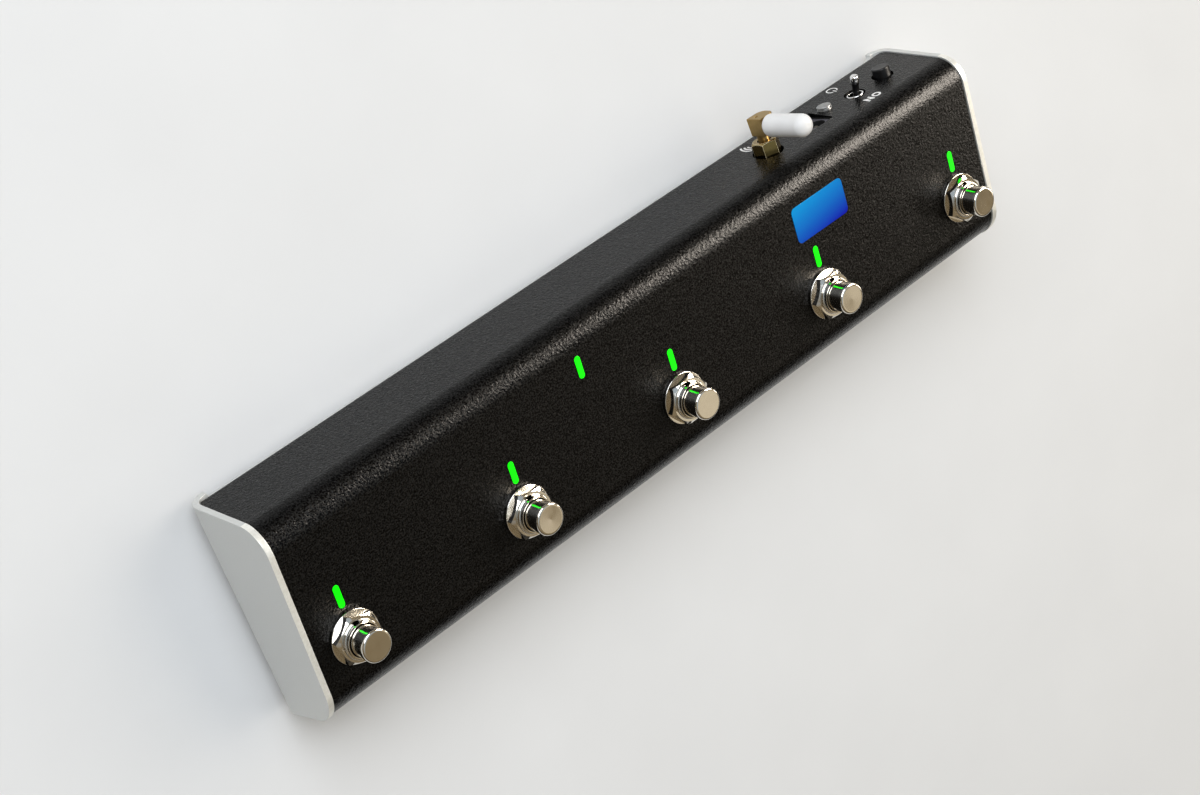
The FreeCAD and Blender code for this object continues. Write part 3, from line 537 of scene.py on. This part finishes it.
# Two cards that show only in reflections: the line along the rear bend, and the grainy sheen
# over the panel's right end
for name, place, aim, size, power in (
        ("right_gleam", (0.85, 0.2, 0.72), (0.1, 0, 0), (0.52, 0.5), 17),
        ("side_gleam", (0.85, -0.315, 0.47), (0.13, 0, 0.04), (0.2, 0.2), 0.8)):
    softbox(name, place, aim, size, power, WARM).visible_diffuse = False
softbox("rear_softbox", (-0.62, 1.2, 1.3), (0, 0.1, 0), (1.5, 1.3), 27, "#f2f7ff")
# A narrow card in front, which the middle caps mirror
softbox("front_card", (0.62, -0.65, 0.84), (0, -0.02, 0.05), (0.26, 0.5), 0.17, "#f4eee0")

# The room: dark toward the floor, brown half way up and pale overhead
world = bpy.data.worlds.new("studio_room")
bpy.context.scene.world = world
world.use_nodes = True
room = world.node_tree
outward = add(room, "ShaderNodeSeparateXYZ", {
    "Vector": add(room, "ShaderNodeTexCoord").outputs["Generated"]})
rising = add(room, "ShaderNodeMapRange", {
    "Value": outward.outputs["Z"], "From Min": 0.15, "From Max": 0.6})
topmost = add(room, "ShaderNodeMapRange", {
    "Value": outward.outputs["Z"], "From Min": 0.74, "From Max": 0.95})
lower = add(room, "ShaderNodeMix", {
    "Factor": rising.outputs["Result"], "A": colour("#3a3a3a"), "B": colour("#897c66")},
    data_type="RGBA")
walls = add(room, "ShaderNodeMix", {
    "Factor": topmost.outputs["Result"], "A": lower.outputs["Result"], "B": colour("#a9b4be")},
    data_type="RGBA")
room.links.new(walls.outputs["Result"], room.nodes["Background"].inputs["Color"])


# Housing

def housing_block(name, half, corners, rear_round, front_round):
    """A long block drawn out to the housing's outline, with its two upper bends. The corners are
    (y, z) at the rear foot, rear top, front top and front foot."""
    half_way_up = 20
    front_turn = math.radians(78.5)
    made = block(name, (-half, -1, -1), (half, 1, 1))
    for (side_y, side_z), (y, z) in zip(((1, -1), (1, 1), (-1, 1), (-1, -1)), corners):
        start = Vector((0, side_y, side_z)) * MM
        pick(made, "VERT", lambda v: (Vector((0, v.co.y, v.co.z)) - start).length < 0.1 * MM)
        bpy.ops.transform.translate(value=(0, (y - side_y) * MM, (z - side_z) * MM))
        done()
    round_edges(
        made, rear_round, 16,
        lambda e: runs(e, 0) and middle(e).y > 0 and middle(e).z > half_way_up)
    round_edges(
        made, front_round * math.tan(front_turn / 2), 16,
        lambda e: runs(e, 0) and middle(e).y < 0 and middle(e).z > half_way_up)
    return made


def window_cutter(name, x, along):
    """A slot with full round ends through the panel, 2.3 by 7.6."""
    made = block(name, (-1.15, -3.8, -3), (1.15, 3.8, 3))
    round_edges(made, 1.15 * 0.995, 10, lambda e: runs(e, 2))
    return settle(made, on_panel(x, along), PANEL_LEAN)


def wall_hole(name, x, z, radius):
    """A round cutter through the rear wall."""
    made = turned(name, [(radius, -4), (radius, 4)], sides=64)
    return settle(made, on_wall(x, z), WALL_LEAN)


def folded_cover():
    """One folded sheet: rear wall, panel, front wall and the two returns under them."""
    outer = [(34.868, 5), (31.034, 39.729), (-32.480, 32.716), (-35.002, 5)]
    made = housing_block("cover_sheet", COVER_HALF, outer, rear_round=8.5, front_round=11)
    round_edges(made, 2.2, 6, lambda e: runs(e, 0) and middle(e).z < 6)
    inner = [(33.09, 6.6), (29.616, 37.954), (-31.04, 31.255), (-33.25, 6.6)]
    past = COVER_HALF + 5
    hollow = housing_block("cover_hollow", past, inner, rear_round=6.9, front_round=9.4)
    # Between the returns the underside is open
    mouth = block("cover_mouth", (-past, -24.4, 0), (past, 24.3, 12))
    # The lower corners of both ends follow the bends of the base
    ends = block("cover_ends", (-COVER_HALF - 0.01, -60, 5.001), (COVER_HALF + 0.01, 60, 60))
    round_edges(ends, 4.3, 8, lambda e: runs(e, 1) and middle(e).z < 6)
    cut(made, hollow, mouth)
    cut(made, ends, how="INTERSECT")
    for x in SWITCH_PLACES:
        hole = settle(turned("hole", [(6.1, -3), (6.1, 3)], sides=64), on_panel(x, 0), PANEL_LEAN)
        cut(made, hole, window_cutter("window", x, LIGHT_UP))
    cut(made, window_cutter("status_window", STATUS_X, STATUS_UP))
    for name, x, z, radius in (
            ("antenna_hole", ANTENNA_X, WALL_ROW, 5.1),
            ("lamp_hole", LAMP_X, LAMP_Z, 2.7),
            ("toggle_hole", TOGGLE_X, WALL_ROW, 3.6),
            ("button_hole", BUTTON_X, WALL_ROW, 3.7)):
        cut(made, wall_hole(name, x, z, radius))
    gap = 0.2
    low = (INLET_LOW[0] - gap, 29, INLET_LOW[1] - gap)
    high = (INLET_HIGH[0] + gap, 40, INLET_HIGH[1] + gap)
    inlet = block("inlet_hole", low, high)
    round_edges(inlet, 0.6, 3, lambda e: runs(e, 1))
    cut(made, inlet)
    soften(made, 0.18, 2, 40)
    return fit(made, "housing", "top_cover", POWDER)


def folded_base():
    """The floor sheet with its two upturned ends, whose rims stand just proud of the cover."""
    corners = [
        (35.491, FOOT_HEIGHT), (31.388, 40.170), (-32.849, 33.078), (-35.586, FOOT_HEIGHT)]
    made = housing_block("base_sheet", BASE_HALF, corners, rear_round=8.9, front_round=11.4)
    inner_bend = 4
    round_edges(
        made, inner_bend + BASE_SHEET, 8, lambda e: runs(e, 1) and middle(e).z < FOOT_HEIGHT + 1)
    inner_half = BASE_HALF - BASE_SHEET
    floor_top = FOOT_HEIGHT + BASE_SHEET
    inside = block("base_hollow", (-inner_half, -60, floor_top), (inner_half, 60, 80))
    round_edges(inside, inner_bend, 8, lambda e: runs(e, 1) and middle(e).z < floor_top + 1)
    cut(made, inside)
    # Along its long sides the floor is trimmed back, so that only a thin line of it shows
    for name, near, far in (("rear_trim", 33.6, 60), ("front_trim", -60, -33.7)):
        trim = block(name, (-141.5, near, 0), (141.5, far, floor_top + 0.5))
        cut(made, round_edges(trim, 1.5, 6, lambda e: runs(e, 2)))
    # The trimmed rims of the end plates take a near-white finish, a painted highlight along their
    # edges
    wear(made, SILVER, RIM_HIGHLIGHT)
    for face in made.data.polygons:
        on_rim = abs(face.center.x) > inner_half * MM and abs(face.normal.x) < 0.1
        face.material_index = int(on_rim and abs(face.normal.z + 1) > 0.1)
    soften(made, 0.3, 3, 40)
    return fit(made, "housing", "base_chassis")


def stuck_feet():
    """Four moulded feet, rounded at the sole, with a shallow dish there."""
    places = [(x, y) for x in (130, -130) for y in (25.09, -25.18)]
    rings = [(6.0, 0), (6.85, 2.2), (7.0, 2.4), (7.0, FOOT_HEIGHT)]
    for count, (x, y) in enumerate(places, 1):
        made = turned(f"foot_{count}", rings, sides=64)
        pick(made, "FACE", lambda f: f.normal.z < -0.9)
        bpy.ops.mesh.inset(thickness=1.4 * MM)
        bpy.ops.mesh.inset(thickness=0.6 * MM)
        bpy.ops.transform.translate(value=(0, 0, 0.4 * MM))
        done()
        settle(made, (x * MM, y * MM, 0))
        soften(made, 0.25, 3)
        fit(made, "housing", "rubber_feet", RUBBER_AND_SHADE)


# Press switches, each part modelled once at the panel's own origin and copied along the row

def stepped_bushing():
    """A threaded barrel with a narrower collar on top and a keyway down its side."""
    bore = 5.06
    barrel = 6
    shoulder = 3.9
    rings = [
        (bore, -1.6), (barrel, -1.6), (barrel, shoulder), (5.45, shoulder), (5.45, 4.9),
        (bore, 4.9)]
    made = turned("bushing_1", rings, hollow=True)
    round_edges(
        made, 0.3, 3,
        lambda e: abs(middle(e).z - shoulder) < 0.01 and middle(e).xy.length > barrel - 0.1)
    key = block("keyway", (-0.95, 5.15, -2), (0.95, 7, 4.5))
    cut(made, key)
    return soften(made, 0.1, 2, 40)


def disc_washer():
    """A flat washer between nut and panel."""
    rings = [(6.05, 0), (8.2, 0), (8.2, WASHER_THICK), (6.05, WASHER_THICK)]
    return soften(turned("washer_1", rings, hollow=True), 0.18, 3)


def chamfered_nut():
    """A hexagon, 14 across its flats, whose far corners are turned off to a shallow cone."""
    made = hexagon("nut_1", across=14, low=0, high=2.6)
    cone = turned("nut_cone", [(9.6, -0.01), (9.6, 0.9), (8.3, 1.72), (6.8, 2.59), (6.8, 2.61)])
    bore = turned("nut_bore", [(6.05, -1), (6.05, 4)])
    cut(made, cone, how="INTERSECT")
    cut(made, bore)
    return soften(made, 0.12, 2, 24)


def press_cap():
    """The plunger's cap, its top edge rounded over and its face dished by a hair."""
    top = 11.05
    near_top = top - 0.05
    made = turned("cap_1", [(4.78, 1.1), (4.78, 9.6), (5, 9.72), (5, top)])
    round_edges(made, 0.7, 6, lambda e: middle(e).z > near_top)
    pick(made, "FACE", lambda f: f.normal.z > 0.999 and f.calc_center_median().z > near_top * MM)
    bpy.ops.mesh.inset(thickness=0.25 * MM)
    bpy.ops.mesh.inset(thickness=3.75 * MM)
    bpy.ops.transform.translate(value=(0, 0, -0.06 * MM))
    done()
    return smooth(made, 50)


def row_of_switches():
    """The five press switches, each nut left at its own angle."""
    first = {
        "bushing": stepped_bushing(), "washer": disc_washer(), "nut": chamfered_nut(),
        "cap": press_cap()}
    nodes = {"bushing": "switch_bushings", "washer": "switch_washers", "nut": "switch_nuts"}
    for count, (x, turn) in enumerate(zip(SWITCH_PLACES, NUT_TURNS), 1):
        for kind, pattern in first.items():
            made = twin(pattern, f"switch_{kind}_{count}")
            if kind == "nut":
                settle(made, (0, 0, WASHER_THICK * MM), (0, 0, math.radians(turn)))
            settle(made, on_panel(x, 0), PANEL_LEAN)
            if kind == "cap":
                fit(made, f"plunger_{count}", f"plunger_{count}", CAP_NICKEL)
            else:
                fit(made, "housing", nodes[kind], NICKEL)
    for pattern in first.values():
        bpy.data.objects.remove(pattern)


# Lights

def light_guide(name, x, along):
    """A bar that fills its window, with a wider shoulder under the sheet and a stem below."""
    sheet = 1.6
    shoulder, stem = 1.4, 3.9
    wider, longer = 2.15, 1.32
    made = block(name, (-1.05, -3.7, -sheet), (1.05, 3.7, 0.08))
    round_edges(made, 1.04, 10, lambda e: runs(e, 2))
    under = (0, 0, -sheet * MM)
    pick(made, "FACE", lambda f: f.normal.z < -0.9)
    for growth, drop in (((wider, longer, 1), shoulder), ((1 / wider, 1 / longer, 1), stem)):
        bpy.ops.mesh.extrude_region_move(TRANSFORM_OT_translate={"value": (0, 0, 0)})
        bpy.ops.transform.resize(value=growth, center_override=under)
        bpy.ops.mesh.extrude_region_move(TRANSFORM_OT_translate={"value": (0, 0, -drop * MM)})
    done()
    round_edges(made, 0.12, 2, lambda e: middle(e).z > 0.07)
    settle(made, on_panel(x, along), PANEL_LEAN)
    return smooth(made)


def lights():
    """A light bar behind each switch, and the status light."""
    for count, x in enumerate(SWITCH_PLACES, 1):
        guide = light_guide(f"light_guide_{count}", x, LIGHT_UP)
        fit(guide, "housing", "light_pipes", GREEN)
    status = light_guide("status_light_guide", STATUS_X, STATUS_UP)
    fit(status, "housing", "status_light_pipe", GREEN)


# Rear wall

def antenna():
    """Coupling nut, angled elbow and rounded sleeve, round one axis that points out of the wall."""
    wall = wall_y(WALL_ROW)
    nut = hexagon("antenna_coupling_nut", across=8, low=-3.6, high=4.3)
    settle(nut, lean=(0, 0, math.radians(6)))
    cone = turned("coupling_cone", [(3.9, -3.61), (4.7, -3.1), (4.7, 3.7), (3.75, 4.31)], sides=64)
    bore = turned("coupling_bore", [(2.4, -5), (2.4, 6)], sides=64)
    thread = turned("coupling_thread", [(3.15, -5), (3.15, 2.9)], sides=64)
    cut(nut, cone, how="INTERSECT")
    cut(nut, bore, thread)
    settle(nut, on_wall(ANTENNA_X), WALL_LEAN)
    # The nut's broken edges take the pale gold, a painted highlight between its faces
    wear(nut, GOLD, GOLD_EDGE_HIGHLIGHT)
    soften(nut, 0.26, 3, 24, edge_finish=1)
    fit(nut, "housing", "antenna_nut")

    left, right = ANTENNA_X - 2.2, ANTENNA_X + 4.4
    low, high = WALL_ROW - 2.4, WALL_ROW + 4.2
    elbow = block("antenna_elbow_block", (left, wall + 6.3, low), (right, wall + 12.3, high))
    round_edges(
        elbow, 2.4, 8,
        lambda e: runs(e, 1) and middle(e).x > right - 0.9 and middle(e).z > high - 0.7)
    round_edges(
        elbow, 2.8, 8,
        lambda e: runs(e, 1) and middle(e).x > right - 0.9 and middle(e).z < low + 0.9)
    neck = turned("elbow_neck", [(1.9, 1.5), (1.9, 6.6)], sides=64)
    settle(neck, on_wall(ANTENNA_X), WALL_LEAN)
    pin_hole = turned("elbow_pin_hole", [(0.55, 10.3), (0.55, 13)], sides=32)
    settle(pin_hole, Vector((ANTENNA_X - 0.2, wall, WALL_ROW + 0.3)) * MM, WALL_LEAN)
    cut(elbow, neck, how="UNION")
    cut(elbow, pin_hole)
    soften(elbow, 0.2, 3, 30)
    fit(elbow, "antenna", "antenna_elbow", OLD_BRASS)

    foot, tip = 4.2, 22.9
    sleeve = turned("antenna_sleeve_moulding", [(3.7, foot), (3.7, tip)])
    round_edges(sleeve, 3.1, 14, lambda e: middle(e).z > tip - 0.1)
    round_edges(sleeve, 2.1, 10, lambda e: middle(e).z < foot + 0.1)
    settle(sleeve, on_wall(ANTENNA_X, out=9.3))
    smooth(sleeve, 50)
    fit(sleeve, "antenna", "antenna_sleeve", WHITE)


def power_inlet():
    """A grey block with a raised frame round its face, a round mouth and a centre pin."""
    face_y = 32.36
    bore_depth = 9.5
    low = (INLET_LOW[0], face_y - 14, INLET_LOW[1])
    high = (INLET_HIGH[0], face_y, INLET_HIGH[1])
    made = block("inlet_housing", low, high)
    pick(made, "FACE", lambda f: f.normal.y > 0.9)
    bpy.ops.mesh.inset(thickness=0.55 * MM)
    bpy.ops.mesh.extrude_region_move(TRANSFORM_OT_translate={"value": (0, -0.25 * MM, 0)})
    done()
    rings = [(3.15, -bore_depth), (3.15, -0.6), (3.55, 0.1), (3.55, 1)]
    bore = turned("inlet_bore", rings, sides=72)
    settle(bore, Vector((INLET_X, face_y, INLET_Z)) * MM, WALL_LEAN)
    cut(made, bore)
    soften(made, 0.15, 2, 35)
    # The frame's front and the bore are painted black as shade, giving dark lines round the face
    # and a dark mouth; the sunk face between them is grey
    wear(made, SOCKET, RUBBER_AND_SHADE)
    for face in made.data.polygons:
        reach = (Vector((face.center.x, face.center.z)) - Vector((INLET_X, INLET_Z)) * MM).length
        in_shaded_bore = reach < 3.5 * MM and face.center.y < (face_y - 0.3) * MM
        face.material_index = int(in_shaded_bore or face.center.y > (face_y - 0.22) * MM)
    fit(made, "housing", "dc_jack")

    pin_length = 8.7
    pin = turned("inlet_centre_pin", [(1.0, 0), (1.0, pin_length)], sides=40)
    round_edges(pin, 0.85, 6, lambda e: middle(e).z > pin_length - 0.1)
    settle(pin, Vector((INLET_X, face_y - bore_depth, INLET_Z)) * MM, WALL_LEAN)
    # The pin's darkened tone is painted shade deep in the inlet's mouth
    fit(smooth(pin), "housing", "dc_jack_pin", SHADED_PIN)


def power_lamp():
    """The power light's lens: a neck in the wall, a groove and a low domed head."""
    rings = [
        (2.6, -9), (2.6, 0.12), (2.05, 0.14), (2.05, 0.5), (2.5, 0.52), (2.5, 0.85),
        (2.3, 1.08), (1.7, 1.24), (0.8, 1.3)]
    made = turned("power_lamp_lens", rings, sides=72)
    settle(made, on_wall(LAMP_X, LAMP_Z), WALL_LEAN)
    soften(made, 0.06, 2, 25)
    fit(made, "housing", "power_light", LAMP)


def power_toggle():
    """The lever switch: a chromed ring sunk in the wall and a black lever with a bright tip."""
    rings = [(2.35, -6), (3, -6), (3, -0.1), (2.35, -0.1)]
    ring = turned("toggle_collar", rings, hollow=True, sides=72)
    round_edges(ring, 0.3, 4, lambda e: middle(e).z > -0.2 and middle(e).xy.length > 2.9)
    settle(ring, on_wall(TOGGLE_X), WALL_LEAN)
    fit(soften(ring, 0.1, 2), "housing", "toggle_bushing", CHROME)

    rings = [
        (1.1, -1.2), (1.6, -0.8), (1.8, 0), (1.6, 0.8), (1.15, 1.25), (1.05, 1.7), (1.05, 4.2),
        (1.15, 6.6), (1.4, 7.2), (1.4, 10)]
    lever = turned("toggle_handle", rings, sides=64)
    round_edges(lever, 0.9, 8, lambda e: middle(e).z > 9.9)
    smooth(lever, 50)
    wear(lever, BLACK, CHROME)
    for face in lever.data.polygons:
        face.material_index = int(face.center.z > 7.1 * MM)
    # At ON the lever tips 15 degrees up, about a point 3 mm inside the wall
    settle(lever, on_wall(TOGGLE_X, out=-3), (math.radians(-90 + 15), 0, 0))
    fit(lever, "power_lever", "toggle_lever")


def function_button():
    """A round button with a shallow dish for the fingertip."""
    top = 3
    near_top = top - 0.1
    made = turned("function_button_cap", [(3, -4.6), (3, top)], sides=72)
    round_edges(made, 0.45, 5, lambda e: middle(e).z > near_top)
    pick(made, "FACE", lambda f: f.normal.z > 0.99 and f.calc_center_median().z > near_top * MM)
    bpy.ops.mesh.inset(thickness=0.5 * MM)
    bpy.ops.mesh.inset(thickness=0.9 * MM)
    bpy.ops.transform.translate(value=(0, 0, -0.12 * MM))
    done()
    settle(made, on_wall(BUTTON_X), WALL_LEAN)
    fit(smooth(made), "function_button", "function_cap", BLACK)


# Printed marks and the label

PRINT_HALF = 0.03


def flat_on_wall(piece, x, below):
    """Lay a mark made in the XY plane on the rear wall, upright to someone behind the box, at a
    distance down the wall from the panel's rear edge."""
    out = Vector((0, math.cos(SLOPE), math.sin(SLOPE)))
    rise = Vector((0, -math.sin(SLOPE), math.cos(SLOPE)))
    z = ROW_Z + PANEL_REAR * math.sin(SLOPE) - below * math.cos(SLOPE)
    turn = Matrix((Vector((-1, 0, 0)), rise, out)).transposed()
    take(piece)
    piece.matrix_world = Matrix.Translation(on_wall(x, z)) @ turn.to_4x4()
    bpy.ops.object.transform_apply(location=True, rotation=True, scale=True)
    return fit(piece, "housing", finish=PRINT)


def on_word():
    """The word ON above the switch's lever."""
    bpy.ops.object.select_all(action="DESELECT")
    bpy.ops.object.text_add(location=(0, 0, 0))
    word = named("on_word_print")
    word.data.body = "ON"
    word.data.size = 3.9 * MM
    word.data.align_x = "CENTER"
    word.data.align_y = "CENTER"
    word.data.space_character = 1.25
    word.data.offset = 0.18 * MM
    word.data.extrude = 0.04 * MM
    take(word)
    bpy.ops.object.convert(target="MESH")
    return flat_on_wall(word, x=116.1, below=11.2)


def printed_ring(name, inner, outer):
    """A flat ring of ink."""
    rings = [
        (inner, -PRINT_HALF), (outer, -PRINT_HALF), (outer, PRINT_HALF), (inner, PRINT_HALF)]
    return turned(name, rings, hollow=True, sides=48)


def power_mark():
    """A ring open at the top with a bar in the gap."""
    ring = printed_ring("power_mark_print", 1.5, 2.0)
    cut(ring, block("mark_gap", (-0.9, 0.6, -1), (0.9, 3, 1)))
    bar = block("mark_bar", (-0.25, 0.5, -PRINT_HALF), (0.25, 2.3, PRINT_HALF))
    round_edges(bar, 0.2, 3, lambda e: runs(e, 2))
    cut(ring, bar, how="UNION")
    return flat_on_wall(ring, x=116.5, below=29.8)


def radio_mark():
    """Three arcs, one inside the other, beside the antenna."""
    half_width = 0.34
    for count, radius in enumerate((1.3, 2.5, 3.7), 1):
        arc = printed_ring(f"radio_mark_{count}_print", radius - half_width, radius + half_width)
        for side in (-1, 1):
            gate = block("mark_side", (-6, 0, -1), (6, 6, 1))
            settle(gate, (0, 0, 0), (0, 0, math.radians(90 + side * 45)))
            cut(arc, gate)
        flat_on_wall(arc, x=76.2, below=28.4)


def badge():
    """The printed label on the panel, bare of any word."""
    made = block("panel_label", (-11.7, -6.15, -0.02), (11.7, 6.15, 0.15))
    round_edges(made, 1.7, 8, lambda e: runs(e, 2))
    settle(made, on_panel(LABEL_X, LABEL_UP), PANEL_LEAN)
    soften(made, 0.05, 2)
    return fit(made, "housing", finish=badge_blue())


def cover_screws():
    """Pan heads under the base that hold the cover's returns."""
    first = turned("cover_screw_1", [(2.6, 3.02), (2.6, 2.5), (2.2, 1.8), (1.2, 1.5)], sides=40)
    for turn in (0, math.pi / 2):
        slot = block("cross", (-1.5, -0.28, 1.0), (1.5, 0.28, 2.4))
        cut(first, settle(slot, (0, 0, 0), (0, 0, turn)))
    smooth(first, 40)
    places = [(x, y) for x in (-105, 0, 105) for y in (-29.5, 29.5)]
    for count, (x, y) in enumerate(places, 1):
        made = twin(first, f"cover_screw_head_{count}")
        settle(made, (x * MM, y * MM, 0))
        fit(made, "housing", finish=ZINC)
    bpy.data.objects.remove(first)


folded_cover()
folded_base()
stuck_feet()
row_of_switches()
lights()
antenna()
power_inlet()
power_lamp()
power_toggle()
function_button()
on_word()
power_mark()
radio_mark()
badge()
cover_screws()

# The CAD nodes that stay as they are, all inside the box, each in its own finish

# Moulded phenolic switch case: hard dark blue with a low shine
PHENOLIC = plain("blue_phenolic_case", "#1a3c70", "#24508c", 0.8, 0.4, relief=0.05)
# Hot-dipped tin on the lugs: soft bright grey
TIN = plain("tinned_lug", "#c4c5c4", "#d9dad8", 1.0, 0.25, metallic=1.0)
# Phosphor under clear resin on the light chips: cream
CHIP_RESIN = plain("cream_light_chip", "#e6dca8", "#f2ecc6", 0.5, 0.35)
# Cast red epoxy of the power light's own chip: deep and glossy
RED_EPOXY = plain("clear_red_light", "#7e1d1a", "#a3302a", 0.8, 0.2)
# Solder mask over the light board: even glossy green
LIGHT_MASK = plain("green_solder_mask", "#0d4a2a", "#156338", 1.6, 0.3)
# Solder mask over the main board: a darker green
MAIN_MASK = plain("dark_green_solder_mask", "#0b4226", "#125a33", 1.6, 0.3)
# Turned bare brass posts: yellow with a soft mirror
SPACER_BRASS = plain("turned_brass_post", "#b8954c", "#d0ae66", 1.0, 0.28, metallic=1.0)
STANDOFF_BRASS = plain("turned_brass_standoff", "#b8954c", "#d0ae66", 1.0, 0.28, metallic=1.0)
# Pressed tinned steel lid of the radio module: grey with a blurred shine
TINPLATE = plain("tinned_steel_can", "#b4b6b6", "#c9cbcb", 1.2, 0.3, metallic=1.0)
# Moulded epoxy chips: black, fine-grained and matt
EPOXY = plain("black_epoxy_package", "#141415", "#1e1e20", 0.4, 0.5, relief=0.1)
# Moulded natural nylon headers: cream, slightly waxy
HEADER_NYLON = plain("cream_nylon_header", "#ded6bd", "#ece5cf", 0.9, 0.45)
# Extruded vinyl over the ribbon's wires, 1.27 mm apart: flat grey
RIBBON_VINYL = plain("grey_ribbon_jacket", "#8c8e92", "#a3a5a9", 1.27, 0.5)
# Metallised film round the cell: silver, with faint creases
CELL_FILM = plain("silver_cell_film", "#a5a9ad", "#c0c4c8", 3.0, 0.3, metallic=0.6, relief=0.1)
# Open-cell foam pad: black, dry and rough
FOAM = plain("black_foam", "#1a1a1b", "#2a2a2c", 0.6, 0.95, relief=0.5)

INSIDE = {
    "switch_bodies": PHENOLIC, "switch_lugs": TIN, "light_chips": CHIP_RESIN,
    "power_led": RED_EPOXY, "light_board": LIGHT_MASK, "main_board": MAIN_MASK,
    "light_board_spacers": SPACER_BRASS, "main_board_standoffs": STANDOFF_BRASS,
    "wireless_module": TINPLATE, "board_chips": EPOXY, "cable_headers": HEADER_NYLON,
    "ribbon_cable": RIBBON_VINYL, "battery_pack": CELL_FILM, "battery_pad": FOAM,
    "antenna_socket": GOLD, "toggle_body": BLACK, "tact_switch": BLACK,
}
for node, finish in INSIDE.items():
    wear(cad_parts[node], finish)
